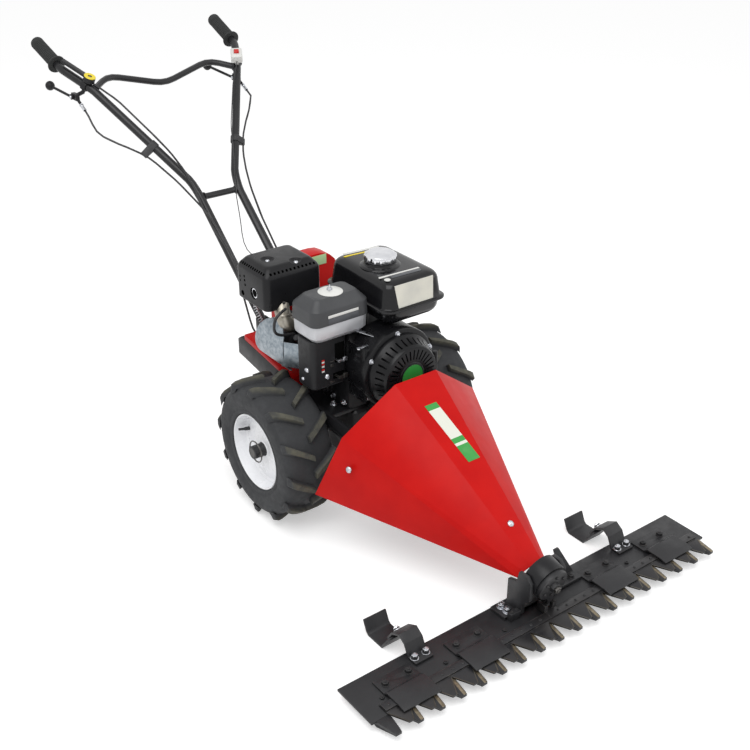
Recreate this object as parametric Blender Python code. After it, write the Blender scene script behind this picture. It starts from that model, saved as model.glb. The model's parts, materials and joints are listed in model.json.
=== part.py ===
"""Walk-behind sickle-bar grass cutter, modelled as an assembly of its separate pieces.

Metres, +Z up. The cutter bar is at -Y, the handlebars are at +Y and the machine's left is +X.
All places are written from the wheel axle (y = 0) and the ground (z = 0), and one empty carries
everything so that the middle of the machine's length stands on the origin.
"""
import math

import bmesh
import bpy
from mathutils import Matrix, Vector

# Clearances
GAP = 0.0003
SHAFT_GAP = 0.0003

# Wheels and axle
TYRE_R = 0.1655
TYRE_WIDTH = 0.1275
TYRE_TRACK = 0.4085
LUG_HEIGHT = 0.0145
LUG_PITCHES = 12
LUG_SHARE = 0.17
LUG_SWEEP = 0.26
RIM_R = 0.0892
RIM_WIDTH = 0.115
RIM_SHEET = 0.003
HUB_R = 0.015
HUB_REACH = 0.0625
AXLE_R = 0.010
PIN_R = 0.0028
PIN_INSET = 0.0092
PIN_RING_R = 0.025
PIN_RING_WIRE = 0.0016

# Frame
RAIL_OUTER = 0.135
RAIL_SHEET = 0.008
RAIL_FRONT = -0.245
MOUNT_TOP = 0.2552
MOUNT_SHEET = 0.008
PLATE_WIDTH = 0.035
SUPPORT_DEPTH = 0.020
SUPPORT_REACH = (0.1718, 0.1635)

# Gearbox and drive
BOX_HALF = 0.060
BOX_FRONT = -0.104
BOX_REAR = 0.120
BOX_LOW = 0.105
BOX_WALL = 0.006
INPUT_Z = 0.210
WORM_R = 0.012
DRIVE_TILT = math.radians(14)
DRIVE_TUBE_R = 0.020
DRIVE_TUBE_WALL = 0.003
DRIVE_SHAFT_R = 0.006
DRIVE_NECK_R = 0.0088
DRIVE_TUBE_BORE = DRIVE_SHAFT_R + SHAFT_GAP
DRUM_CENTRE = (0.0, -0.650, 0.108)
DRUM_R = 0.040
DRUM_LENGTH = 0.036
DRUM_WALL = 0.008
ECCENTRIC_R = 0.022
CRANK_PIN_R = 0.005
CRANK_PIN_OFFSET = 0.013
ROCKER_LENGTH = 0.064
ROCKER_SHEET = 0.010
ROCKER_DISC_R = 0.036
BALL_R = 0.006
BALL_CLEARANCE = 0.0009
KNIFE_REST = 0.008

# Belt drive
PULLEY_R = 0.035
INPUT_PULLEY_R = 0.055
BELT_Y = 0.193
BELT_WIDTH = 0.012
BELT_DEPTH = 0.008
FLANGE_SHEET = 0.004
COVER_BACK = 0.216
COVER_FRONT = 0.172
COVER_SHEET = 0.002
COVER_LEFT = 0.095
COVER_RIGHT = -0.070
COVER_LOW = 0.140
COVER_TOP = 0.510
IDLER_R = 0.012
IDLER_PIVOT = (0.080, 0.345)
IDLER_AT = (0.0745, 0.290)

# Cutter bar
BAR_HALF = 0.452
BAR_REAR = -0.585
BAR_FRONT = -0.690
BAR_LOW = 0.0195
BAR_TOP = 0.0245
TOOTH_PITCH = 0.050
FINGER_COUNT = 18
FINGER_TIP = -0.735
FINGER_HALF = 0.017
FINGER_TIP_HALF = 0.007
KNIFE_SHIFT = -0.017
SECTION_HALF = 0.0247
SECTION_TIP_HALF = 0.0055
SECTION_TIP = -0.729
SECTION_BACK = -0.664
SECTION_SHEET = 0.003
KNIFE_BACK = (-0.686, -0.668)
KNIFE_BACK_SHEET = 0.004
KNIFE_EAR_TOP = 0.0465
FOOT_SHEET = 0.008
FOOT_X = (-0.082, 0.134)
FOOT_Y = (-0.632, -0.590)
CHEEK_SHEET = 0.008
CLIP_X = (0.180, 0.350)
CLIP_HALF = 0.043
CLIP_SHEET = 0.004
CLIP_BOLT_X = 0.027
CLIP_BOLT_Y = -0.631
SKID_X = 0.2785
SKID_WIDTH = 0.055
SKID_SHEET = 0.005

# Engine
CRANK_X = 0.012
CRANK_Z = 0.3615
CRANK_R = 0.0125
CASE_X = (-0.0745, 0.095)
CASE_Y = (-0.100, 0.075)
CASE_TOP = 0.430
CYLINDER_TILT = math.radians(20)
CYLINDER_Y = (0.010, 0.085)
CYLINDER_HALF = 0.034
HEAD_REACH = 0.160
SHROUD_R = 0.094
SHROUD_FRONT = -0.171
SHROUD_SHEET = 0.0025
RECOIL_R = 0.083
RECOIL_NOSE_R = 0.065
RECOIL_FRONT = -0.214
FLYWHEEL_R = 0.080
TANK_X = (-0.022, 0.150)
TANK_Y = (-0.168, 0.067)
TANK_LOW = 0.458
TANK_FLANGE = 0.498
TANK_TOP = 0.557
TANK_SHEET = 0.0025
TANK_CORNER = 0.025
CAP_X = 0.048
CAP_Y = -0.054
CAP_R = 0.036
CAP_TOP = 0.587
NECK_R = 0.030
CLEANER_X = (-0.170, -0.0235)
CLEANER_Y = (-0.1165, -0.020)
CLEANER_Z = (0.445, 0.484, 0.538)
CARB_X = (-0.165, -0.0748)
CARB_Y = (-0.0995, -0.037)
CARB_Z = (0.328, 0.4445)
GUARD_X = (-0.190, -0.045)
GUARD_Y = (0.0355, 0.1595)
GUARD_Z = (0.471, 0.568)
GUARD_SHEET = 0.0015

# Cover over the drive tube
PANEL_SHEET = 0.002
PANEL_REAR = ((0.215, -0.169, 0.126), (0.180, -0.223, 0.282), (0.0549, -0.241, 0.3754))
PANEL_FRONT = ((0.040, -0.621, 0.103), (0.030, -0.624, 0.117), (0.015, -0.627, 0.125))

# Handle
TUBE_R = 0.0105
CROSSBAR_R = 0.008
SOCKET = (0.055, 0.2693, 0.3094)
CROSSING = (0.0551, 0.5532, 0.5601)
ELBOW = (0.063, 0.585, 0.595)
W_JOINT = (0.2056, 0.7874, 0.8033)
GRIP_OFFSET = (0.0450, 0.1024, 0.0505)
GRIP_REACH = (0.0056, 0.1045, 0.0382)
GRIP_R = 0.0165
GRIP_FLANGE_R = 0.023
GRIP_ROUND = 0.004
W_CORNER_OFFSET = (-0.0611, 0.0467, 0.0176)
W_MIDDLE_OFFSET = (0.0206, -0.0163)
CABLE_R = 0.0025
WIRE_R = 0.0012

# Controls on the handle: 1 is the machine's left, -1 its right
PIVOT_OFFSETS = {-1: (-0.0394, 0.0426, -0.0183), 1: (-0.0056, 0.0126, -0.0281)}
KNOB_OFFSETS = {-1: (-0.023, 0.080, 0.015), 1: (-0.034, 0.080, 0.0208)}
BRACKET_AHEAD = {-1: 0.0196, 1: 0.0186}
THROTTLE_AHEAD = 0.0156
SWITCH_AHEAD = 0.0116
SWITCH_SIZE = Vector((0.030, 0.038, 0.024))
SWITCH_LIFT = 0.004
BUTTON_SIZE = 0.013
DIAL_R = 0.0145
LEVER_OUTWARD = -1

SIDES = (("right", -1), ("left", 1))

# Places that follow from the sizes above
AXLE = Vector((0.0, 0.0, TYRE_R))
WHEEL_X = TYRE_TRACK / 2
MOUNT_LOW = MOUNT_TOP - MOUNT_SHEET
BOX_TOP = MOUNT_LOW - GAP
CRANK = Vector((CRANK_X, 0.0, CRANK_Z))
DRIVE_AXIS = Vector((0.0, -math.cos(DRIVE_TILT), -math.sin(DRIVE_TILT)))
DRUM = Vector(DRUM_CENTRE)
ROCKER_PIVOT = DRUM + DRIVE_AXIS * (DRUM_LENGTH / 2 + GAP + ROCKER_SHEET / 2)
SECTION_LOW = BAR_TOP + GAP
KNIFE_BACK_LOW = SECTION_LOW + SECTION_SHEET - 0.0002
KNIFE_BACK_TOP = KNIFE_BACK_LOW + KNIFE_BACK_SHEET
KNIFE_MIDDLE = KNIFE_SHIFT + TOOTH_PITCH / 2
FOOT_LOW = BAR_TOP + GAP
FOOT_TOP = FOOT_LOW + FOOT_SHEET
GRIP_START = Vector(W_JOINT) + Vector(GRIP_OFFSET)
GRIP_END = GRIP_START + Vector(GRIP_REACH)
GRIP_AXIS = (GRIP_END - GRIP_START).normalized()
GRIP_LENGTH = (GRIP_END - GRIP_START).length
GRIP_BEND = GRIP_START - GRIP_AXIS * 0.022
W_CORNER = Vector(W_JOINT) + Vector(W_CORNER_OFFSET)
W_MIDDLE = Vector((0.0, W_JOINT[1] + W_MIDDLE_OFFSET[0], W_JOINT[2] + W_MIDDLE_OFFSET[1]))
W_JOINTS = {sign: Vector((sign * W_JOINT[0], W_JOINT[1], W_JOINT[2])) for sign in (-1, 1)}
LEVER_PIVOTS = {sign: W_JOINTS[sign] + Vector(PIVOT_OFFSETS[sign]) for sign in (-1, 1)}
LEVER_KNOBS = {sign: LEVER_PIVOTS[sign] + Vector(KNOB_OFFSETS[sign]) for sign in (-1, 1)}
THROTTLE_Y = W_JOINT[1] + THROTTLE_AHEAD
SWITCH_Y = W_JOINT[1] + SWITCH_AHEAD
BRACKET_Y = {sign: W_JOINT[1] + BRACKET_AHEAD[sign] for sign in (-1, 1)}
REAR_REACH = GRIP_END[1] + (GRIP_R - GRIP_ROUND) * math.sqrt(1 - GRIP_AXIS.y ** 2)
MID_Y = (FINGER_TIP + REAR_REACH) / 2

# Colours: red, green and blue in linear light, roughness, metallic
FINISHES = {
    "red_paint": ((0.60, 0.020, 0.018), 0.30, 0.0),
    "black_paint": ((0.018, 0.018, 0.020), 0.40, 0.0),
    "black_plastic": ((0.022, 0.022, 0.024), 0.50, 0.0),
    "white_paint": ((0.80, 0.80, 0.80), 0.30, 0.0),
    "white_plastic": ((0.75, 0.75, 0.72), 0.40, 0.0),
    "red_plastic": ((0.70, 0.03, 0.02), 0.35, 0.0),
    "yellow_plastic": ((0.75, 0.60, 0.03), 0.40, 0.0),
    "tyre": ((0.045, 0.046, 0.047), 0.80, 0.0),
    "rubber": ((0.045, 0.047, 0.047), 0.70, 0.0),
    "steel": ((0.50, 0.49, 0.47), 0.35, 1.0),
    "zinc": ((0.62, 0.62, 0.64), 0.30, 1.0),
    "engine_black": ((0.020, 0.020, 0.022), 0.45, 0.0),
    "aluminium": ((0.58, 0.58, 0.60), 0.45, 1.0),
    "chrome": ((0.80, 0.80, 0.82), 0.12, 1.0),
    "cast_iron": ((0.030, 0.030, 0.032), 0.60, 0.0),
}


def clear_scene():
    """Remove every object that the scene already holds."""
    for item in list(bpy.data.objects):
        bpy.data.objects.remove(item, do_unlink=True)


def finish_material(name):
    """Return the named finish as a material, made once."""
    found = bpy.data.materials.get(name)
    if found:
        return found
    colour, roughness, metallic = FINISHES[name]
    made = bpy.data.materials.new(name)
    made.use_nodes = True
    shader = made.node_tree.nodes["Principled BSDF"]
    shader.inputs["Base Color"].default_value = (*colour, 1.0)
    shader.inputs["Roughness"].default_value = roughness
    shader.inputs["Metallic"].default_value = metallic
    made.diffuse_color = (*colour, 1.0)
    return made


def outward(mesh):
    """Weld a closed mesh and turn its faces outwards."""
    bmesh.ops.remove_doubles(mesh, verts=mesh.verts, dist=1e-6)
    bmesh.ops.recalc_face_normals(mesh, faces=mesh.faces)
    return mesh


def moved(mesh, matrix):
    """Return the mesh moved by a matrix."""
    bmesh.ops.transform(mesh, matrix=matrix, verts=mesh.verts)
    return mesh


def along(direction):
    """Return the turn that carries +Z onto a direction."""
    return Vector((0, 0, 1)).rotation_difference(Vector(direction)).to_matrix().to_4x4()


def box(first, second):
    """Return a closed box between two opposite corners."""
    low = Vector([min(a, b) for a, b in zip(first, second)])
    high = Vector([max(a, b) for a, b in zip(first, second)])
    mesh = bmesh.new()
    shape = Matrix.Translation((low + high) / 2) @ Matrix.Diagonal((*(high - low), 1))
    bmesh.ops.create_cube(mesh, size=1.0, matrix=shape)
    return mesh


def rod(start, end, radius, end_radius=None, sides=16):
    """Return a closed rod or cone with flat ends between two points."""
    start, end = Vector(start), Vector(end)
    mesh = bmesh.new()
    bmesh.ops.create_cone(
        mesh, cap_ends=True, segments=sides, radius1=radius,
        radius2=radius if end_radius is None else end_radius,
        depth=(end - start).length,
        matrix=Matrix.Translation((start + end) / 2) @ along(end - start))
    return mesh


def ball(centre, radius, sides=12):
    """Return a closed ball."""
    mesh = bmesh.new()
    bmesh.ops.create_uvsphere(mesh, u_segments=sides, v_segments=sides // 2 + 2,
                              radius=radius, matrix=Matrix.Translation(centre))
    return mesh


def turned(profile, base, direction, sides=24, angles=None):
    """Spin an outline of (radius, height) pairs about an axis and close it."""
    mesh = bmesh.new()
    angles = angles or [2 * math.pi * k / sides for k in range(sides)]
    rings = []
    for angle in angles:
        around = Vector((math.cos(angle), math.sin(angle), 0))
        rings.append([mesh.verts.new(around * r + Vector((0, 0, h))) for r, h in profile])
    for ring, following in zip(rings, rings[1:] + rings[:1]):
        for k in range(len(profile)):
            nearest = (k + 1) % len(profile)
            if profile[k][0] == 0 and profile[nearest][0] == 0:
                continue
            mesh.faces.new((ring[k], following[k], following[nearest], ring[nearest]))
    bmesh.ops.remove_doubles(mesh, verts=mesh.verts, dist=1e-6)
    bmesh.ops.dissolve_degenerate(mesh, edges=mesh.edges, dist=1e-7)
    moved(mesh, Matrix.Translation(base) @ along(direction))
    return outward(mesh)


def prism(outline, axis, start, end):
    """Extrude an outline along X, Y or Z. Its pairs are the two other coordinates in order."""
    mesh = bmesh.new()
    other = [k for k in range(3) if k != axis]
    corners = []
    for first, second in outline:
        place = [0.0, 0.0, 0.0]
        place[axis], place[other[0]], place[other[1]] = start, first, second
        corners.append(mesh.verts.new(place))
    face = mesh.faces.new(corners)
    grown = bmesh.ops.extrude_face_region(mesh, geom=[face])
    step = Vector((0, 0, 0))
    step[axis] = end - start
    new_verts = [item for item in grown["geom"] if isinstance(item, bmesh.types.BMVert)]
    bmesh.ops.translate(mesh, vec=step, verts=new_verts)
    return outward(mesh)


def strap_outline(line, thickness):
    """Return the outline of a bent strip whose middle follows a line of points."""
    points = [Vector(p) for p in line]
    left, right = [], []
    for k, point in enumerate(points):
        before = (point - points[k - 1]).normalized() if k else None
        after = (points[k + 1] - point).normalized() if k + 1 < len(points) else None
        before, after = before or after, after or before
        middle = (before + after).normalized()
        normal = Vector((-middle.y, middle.x))
        reach = thickness / 2 / max(0.5, middle.dot(before))
        left.append(point + normal * reach)
        right.append(point - normal * reach)
    return [tuple(p) for p in left + right[::-1]]


def rounded_outline(low, high, radius, steps=2):
    """Return a rectangle with round corners as a list of points."""
    points = []
    corners = ((high[0] - radius, high[1] - radius, 0), (low[0] + radius, high[1] - radius, 1),
               (low[0] + radius, low[1] + radius, 2), (high[0] - radius, low[1] + radius, 3))
    for x, y, quarter in corners:
        for k in range(steps + 1):
            angle = math.pi / 2 * (quarter + k / steps)
            points.append((x + radius * math.cos(angle), y + radius * math.sin(angle)))
    return points


def stacked(low, high, levels, radius, steps=2):
    """Return a closed body whose rounded rectangle is inset by a set amount at each height."""
    mesh = bmesh.new()
    rings = []
    for height, inset in levels:
        outline = rounded_outline((low[0] + inset, low[1] + inset),
                                  (high[0] - inset, high[1] - inset),
                                  max(0.001, radius - inset / 2), steps)
        rings.append([mesh.verts.new((x, y, height)) for x, y in outline])
    count = len(rings[0])
    for lower, upper in zip(rings, rings[1:]):
        for k in range(count):
            following = (k + 1) % count
            mesh.faces.new((lower[k], lower[following], upper[following], upper[k]))
    mesh.faces.new(rings[0][::-1])
    mesh.faces.new(rings[-1])
    return outward(mesh)


def bevelled(mesh, width, segments=1, angle=50):
    """Round the sharp edges of a closed mesh."""
    sharp = [e for e in mesh.edges if e.is_manifold and e.calc_face_angle() > math.radians(angle)]
    bmesh.ops.bevel(mesh, geom=sharp, offset=width, segments=segments, profile=0.6,
                    affect="EDGES", clamp_overlap=True)
    return mesh


def combined(operation, base, *others):
    """Return base joined with, or cut by, each of the other closed meshes."""
    for other in others:
        hosts = []
        for mesh in (base, other):
            store = bpy.data.meshes.new("operand")
            mesh.to_mesh(store)
            host = bpy.data.objects.new("operand", store)
            bpy.context.scene.collection.objects.link(host)
            hosts.append(host)
        modifier = hosts[0].modifiers.new("Boolean", "BOOLEAN")
        modifier.operation = operation
        modifier.solver = "EXACT"
        modifier.object = hosts[1]
        bpy.context.view_layer.update()
        result = bmesh.new()
        result.from_object(hosts[0], bpy.context.evaluated_depsgraph_get())
        for host in hosts:
            store = host.data
            bpy.data.objects.remove(host, do_unlink=True)
            bpy.data.meshes.remove(store)
        bmesh.ops.remove_doubles(result, verts=result.verts, dist=2e-6)
        bmesh.ops.dissolve_degenerate(result, edges=result.edges, dist=2e-6)
        base = result
    return base


def union(base, *others):
    """Return the meshes joined into one body."""
    return combined("UNION", base, *others)


def cut(base, *others):
    """Return the first mesh with the others taken out of it."""
    return combined("DIFFERENCE", base, *others)


def node(name, mesh, finish, pivot=(0, 0, 0), smooth=True):
    """Make the named object under the root empty, with its origin on its pivot."""
    pivot = Vector(pivot)
    bmesh.ops.translate(mesh, vec=-pivot, verts=mesh.verts)
    data = bpy.data.meshes.new(name)
    mesh.to_mesh(data)
    mesh.free()
    data.materials.append(finish_material(finish))
    if smooth:
        data.shade_smooth()
        data.set_sharp_from_angle(angle=math.radians(35))
    made = bpy.data.objects.new(name, data)
    bpy.context.scene.collection.objects.link(made)
    made.parent = bpy.data.objects["root_empty"]
    made.location = pivot
    return made


def smooth_route(points, step):
    """Return points at a steady step along a smooth curve through the given points."""
    points = [Vector(p) for p in points]
    ends = [2 * points[0] - points[1]] + points + [2 * points[-1] - points[-2]]
    fine = []
    for k in range(1, len(ends) - 2):
        a, b, c, d = ends[k - 1:k + 3]
        for j in range(24):
            t = j / 24
            fine.append(0.5 * ((2 * b) + (c - a) * t + (2 * a - 5 * b + 4 * c - d) * t * t
                               + (3 * b - a - 3 * c + d) * t ** 3))
    fine.append(points[-1])
    length = sum((q - p).length for p, q in zip(fine, fine[1:]))
    count = max(2, round(length / step))
    route, travelled, target = [fine[0]], 0.0, length / count
    for p, q in zip(fine, fine[1:]):
        run = (q - p).length
        while travelled + run >= target - 1e-9 and len(route) < count:
            route.append(p.lerp(q, (target - travelled) / run))
            target += length / count
        travelled += run
    route.append(fine[-1])
    return route


def rounded_corners(points, radii, steps=4):
    """Return a line of points with each inner corner turned into a short curve of its own reach."""
    points = [Vector(p) for p in points]
    route = [points[0]]
    for before, corner, after, radius in zip(points, points[1:], points[2:], radii):
        back = (before - corner).normalized()
        ahead = (after - corner).normalized()
        reach = min(radius, (before - corner).length / 2.2, (after - corner).length / 2.2)
        for k in range(steps + 1):
            t = k / steps
            first, last = corner + back * reach, corner + ahead * reach
            route.append(first * (1 - t) ** 2 + corner * 2 * t * (1 - t) + last * t * t)
    route.append(points[-1])
    return route


def curve_object(name, routes, radius, finish, resolution):
    """Make a curve object of round tubes that follow the given routes."""
    data = bpy.data.curves.new(name, "CURVE")
    data.dimensions = "3D"
    data.bevel_depth = radius
    data.bevel_resolution = resolution
    data.use_fill_caps = True
    for route in routes:
        spline = data.splines.new("POLY")
        spline.points.add(len(route) - 1)
        for point, place in zip(spline.points, route):
            point.co = (*place, 1.0)
    data.materials.append(finish_material(finish))
    made = bpy.data.objects.new(name, data)
    bpy.context.scene.collection.objects.link(made)
    made.parent = bpy.data.objects["root_empty"]
    return made


def pipe(route, radius, resolution=4):
    """Return a closed round tube along a route as a mesh."""
    guide = curve_object("pipe_guide", [route], radius, "black_paint", resolution)
    bpy.context.view_layer.update()
    store = bpy.data.meshes.new_from_object(guide.evaluated_get(bpy.context.evaluated_depsgraph_get()))
    mesh = bmesh.new()
    mesh.from_mesh(store)
    data = guide.data
    bpy.data.objects.remove(guide, do_unlink=True)
    bpy.data.curves.remove(data)
    bpy.data.meshes.remove(store)
    return outward(mesh)


def side(point, sign):
    """Return a point on the machine's left (+1) or right (-1)."""
    return Vector((point[0] * sign, point[1], point[2]))


def hex_head(place, direction, radius, height):
    """Return a hexagonal bolt head standing on a place."""
    place, direction = Vector(place), Vector(direction).normalized()
    start = place + direction * GAP
    return rod(start, start + direction * height, radius, sides=6)


def wheel_frame(sign):
    """Return the centre of a wheel and the direction of its outer face."""
    return AXLE + Vector((sign * WHEEL_X, 0, 0)), Vector((sign, 0, 0))


def build_tyre(name, sign):
    """Make one lugged tyre, open towards its rim."""
    half = TYRE_WIDTH / 2
    carcass = TYRE_R - LUG_HEIGHT
    bead = RIM_R + 2 * GAP
    outer = [(bead, 0.0565), (0.118, half), (carcass - 0.006, 0.058), (carcass, 0.0),
             (carcass - 0.006, -0.058), (0.118, -half), (bead, -0.0565)]
    inner = [(bead, -0.050), (carcass - 0.012, -0.050), (carcass - 0.012, 0.050), (bead, 0.050)]
    pitch = 2 * math.pi / LUG_PITCHES
    lug = pitch * LUG_SHARE
    angles = []
    for k in range(LUG_PITCHES):
        for middle in (k * pitch, (k + 0.5) * pitch):
            angles += [middle - lug / 2, middle + lug / 2]
    mesh = turned(outer + inner, (0, 0, 0), (0, 0, 1), angles=angles)
    treads = []
    for face in mesh.faces:
        centre = face.calc_center_median()
        spread = math.atan2(centre.y, centre.x) % pitch
        spread = min(spread, pitch - spread)
        on_side = spread < lug / 4 if centre.z > 0 else abs(spread - pitch / 2) < lug / 4
        if on_side and math.hypot(centre.x, centre.y) > carcass - 0.008 and face.normal.dot(
                Vector((centre.x, centre.y, 0))) > 0:
            treads.append(face)
    grown = bmesh.ops.extrude_face_region(mesh, geom=treads)
    for vert in [item for item in grown["geom"] if isinstance(item, bmesh.types.BMVert)]:
        shoulder = abs(vert.co.z) > 0.05
        reach = (TYRE_R - (0.005 if shoulder else 0)) / math.hypot(vert.co.x, vert.co.y)
        vert.co.x *= reach
        vert.co.y *= reach
        if shoulder:
            vert.co.z = math.copysign(half - 0.001, vert.co.z)
    bmesh.ops.delete(mesh, geom=[face for face in treads if face.is_valid], context="FACES")
    for vert in mesh.verts:
        vert.co.rotate(Matrix.Rotation(LUG_SWEEP * abs(vert.co.z) / half, 3, "Z"))
    centre, outwards = wheel_frame(sign)
    stand = Matrix.Rotation(math.pi / 2 + pitch / 2, 4, "Z")
    moved(mesh, Matrix.Translation(centre) @ along(outwards) @ stand)
    node(name, outward(mesh), "tyre", AXLE)


def build_rim(name, sign):
    """Make one dished rim with its hub sleeve, bored for the axle and the linch pin."""
    edge = RIM_WIDTH / 2
    inner = RIM_R - RIM_SHEET
    profile = [(RIM_R, edge), (RIM_R, -edge), (inner, -edge), (inner, 0.021), (0.060, 0.029),
               (HUB_R, 0.029), (HUB_R, -0.030), (AXLE_R + SHAFT_GAP, -0.030),
               (AXLE_R + SHAFT_GAP, HUB_REACH), (HUB_R, HUB_REACH), (HUB_R, 0.032),
               (0.060, 0.032), (inner - 0.003, 0.0245), (inner, 0.048), (inner + 0.001, edge)]
    centre, outwards = wheel_frame(sign)
    mesh = turned(profile, centre, outwards, sides=22)
    hole_x = sign * (WHEEL_X + HUB_REACH - PIN_INSET)
    hole = rod((hole_x, -0.03, AXLE.z), (hole_x, 0.03, AXLE.z), PIN_R + SHAFT_GAP, sides=8)
    node(name, cut(mesh, hole), "white_paint", AXLE)


def linch_pin(sign):
    """Return the linch pin that holds one hub: a shank with its spring ring."""
    place = Vector((sign * (WHEEL_X + HUB_REACH - PIN_INSET), 0, AXLE.z))
    ring = [(PIN_RING_R + PIN_RING_WIRE * math.cos(a), PIN_RING_WIRE * math.sin(a))
            for a in [math.pi / 2.5 * k for k in range(5)]]
    reach = Vector((0, PIN_RING_R, 0))
    shank = rod(place - reach, place + reach, PIN_R, sides=8)
    return union(turned(ring, place, (1, 0, 0), sides=16), shank)


def build_axle():
    """Make the axle shaft with the worm wheel keyed on it and the linch pins through its ends."""
    reach = WHEEL_X + HUB_REACH
    shaft = rod((-reach, 0, AXLE.z), (reach, 0, AXLE.z), AXLE_R, sides=20)
    teeth = 22
    tip = INPUT_Z - AXLE.z - WORM_R - GAP
    outline = []
    for k in range(teeth):
        for share, radius in ((-0.3, tip - 0.003), (-0.15, tip), (0.15, tip), (0.3, tip - 0.003)):
            angle = 2 * math.pi * (k + share) / teeth
            outline.append((radius * math.cos(angle), AXLE.z + radius * math.sin(angle)))
    wheel = prism(outline, 0, -0.011, 0.011)
    node("axle_shaft", union(shaft, wheel, linch_pin(-1), linch_pin(1)), "steel", AXLE)


def rail_outline():
    """Return the side view of a frame rail as (y, z) pairs."""
    return [(RAIL_FRONT, 0.268), (0.050, 0.268), (0.087, 0.291), (0.252, 0.315), (0.266, 0.305),
            (0.266, 0.267), (0.169, 0.252), (0.100, 0.232), (RAIL_FRONT, 0.232)]


def drive_point(y):
    """Return the point of the drive axis at a given y."""
    return DRUM + DRIVE_AXIS * ((y - DRUM.y) / DRIVE_AXIS.y)


def build_frame():
    """Make the welded frame: rails, engine mount, cross members and handle sockets."""
    inner = RAIL_OUTER - RAIL_SHEET
    frame = prism(rail_outline(), 0, inner, RAIL_OUTER)
    frame = union(frame, box((-inner - 0.001, -0.098, MOUNT_LOW), (inner + 0.001, 0.110, MOUNT_TOP)))
    frame = union(frame, box((-inner - 0.001, 0.236, 0.270), (inner + 0.001, 0.262, 0.308)))
    frame = union(frame, prism(rail_outline(), 0, -inner, -RAIL_OUTER))
    reach = SUPPORT_REACH
    ends = [(-reach[0], RAIL_FRONT + 0.0005), (reach[0], RAIL_FRONT + 0.0005),
            (reach[1], RAIL_FRONT - SUPPORT_DEPTH), (-reach[1], RAIL_FRONT - SUPPORT_DEPTH)]
    support = prism(ends, 2, 0.212, 0.236)
    channel = rod(drive_point(-0.2), drive_point(-0.31), DRIVE_TUBE_R + GAP, sides=20)
    frame = union(frame, cut(support, channel))
    for sign in (-1, 1):
        for face in (-1, 1):
            near = sign * SOCKET[0] + face * (TUBE_R + GAP)
            far = near + face * 0.003
            frame = union(frame, box((near, 0.2615, 0.284), (far, 0.292, 0.330)))
    node("frame_rails", frame, "black_paint")
    arm = [(0.036, 0.2685), (0.050, 0.2685), (0.087, 0.2916), (0.2355, 0.3132), (0.2355, 0.326),
           (0.036, 0.294)]
    slim = [(u, v + GAP) for u, v in arm]
    plate = prism(slim, 0, RAIL_OUTER - PLATE_WIDTH, RAIL_OUTER)
    bridge = box((-0.101, 0.2185, 0.3125), (0.101, 0.2350, 0.3225))
    plate = union(plate, bridge, prism(slim, 0, -(RAIL_OUTER - PLATE_WIDTH), -RAIL_OUTER))
    node("side_plate", plate, "red_paint")


def build_gearbox():
    """Make the hollow gearbox housing with its bores, and the input shaft with its worm."""
    low = (-BOX_HALF, BOX_FRONT, BOX_LOW)
    high = (BOX_HALF, BOX_REAR, BOX_TOP)
    housing = bevelled(box(low, high), 0.008)
    wall = Vector((BOX_WALL,) * 3)
    boss_face = drive_point(-0.115)
    housing = union(housing, rod(drive_point(BOX_FRONT + 0.002), boss_face, DRIVE_TUBE_R + 0.003, sides=20))
    housing = cut(housing, box(Vector(low) + wall, Vector(high) - wall))
    reach = BOX_HALF + 0.01
    housing = cut(housing, rod((-reach, 0, AXLE.z), (reach, 0, AXLE.z), AXLE_R + SHAFT_GAP, sides=20))
    housing = cut(housing, rod((0, BOX_REAR - 0.01, INPUT_Z), (0, BOX_REAR + 0.01, INPUT_Z),
                               AXLE_R + SHAFT_GAP, sides=20))
    pocket = rod(boss_face - DRIVE_AXIS * 0.008, boss_face + DRIVE_AXIS * 0.01,
                 DRIVE_SHAFT_R + SHAFT_GAP, sides=12)
    node("gearbox_housing", cut(housing, pocket), "cast_iron")
    profile = [(0, BOX_FRONT + BOX_WALL + GAP), (AXLE_R, BOX_FRONT + BOX_WALL + GAP), (AXLE_R, -0.022),
               (WORM_R, -0.022), (WORM_R, 0.022), (AXLE_R, 0.022)]
    profile += pulley_steps(AXLE_R, INPUT_PULLEY_R) + [(AXLE_R, BELT_Y + 0.016), (0, BELT_Y + 0.016)]
    shaft = turned(profile, (0, 0, INPUT_Z), (0, 1, 0), sides=20)
    node("input_shaft", shaft, "steel", (0, 0, INPUT_Z))


def pulley_steps(shaft_radius, radius):
    """Return the part of a shaft's outline that forms its belt pulley."""
    half = BELT_WIDTH / 2
    groove = radius - BELT_DEPTH
    near, far = BELT_Y - half, BELT_Y + half
    return [(shaft_radius, near - FLANGE_SHEET), (radius, near - FLANGE_SHEET), (radius, near),
            (groove, near), (groove, far), (radius, far), (radius, far + FLANGE_SHEET),
            (shaft_radius, far + FLANGE_SHEET)]


def belt_outline(grow):
    """Return the loop round both pulleys at a distance outside their groove floors."""
    first = Vector((CRANK_X, CRANK_Z))
    second = Vector((0.0, INPUT_Z))
    radii = (PULLEY_R - BELT_DEPTH + grow, INPUT_PULLEY_R - BELT_DEPTH + grow)
    line = second - first
    lean = math.acos((radii[0] - radii[1]) / line.length)
    base = math.atan2(line.y, line.x)
    points = []
    steps = 9
    for k in range(steps + 1):
        angle = base + lean + (2 * math.pi - 2 * lean) * k / steps
        points.append(first + radii[0] / math.cos(math.pi / 40) * Vector((math.cos(angle), math.sin(angle))))
    for k in range(steps + 1):
        angle = base - lean + 2 * lean * k / steps
        points.append(second + radii[1] / math.cos(math.pi / 40) * Vector((math.cos(angle), math.sin(angle))))
    return [tuple(p) for p in points]


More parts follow.
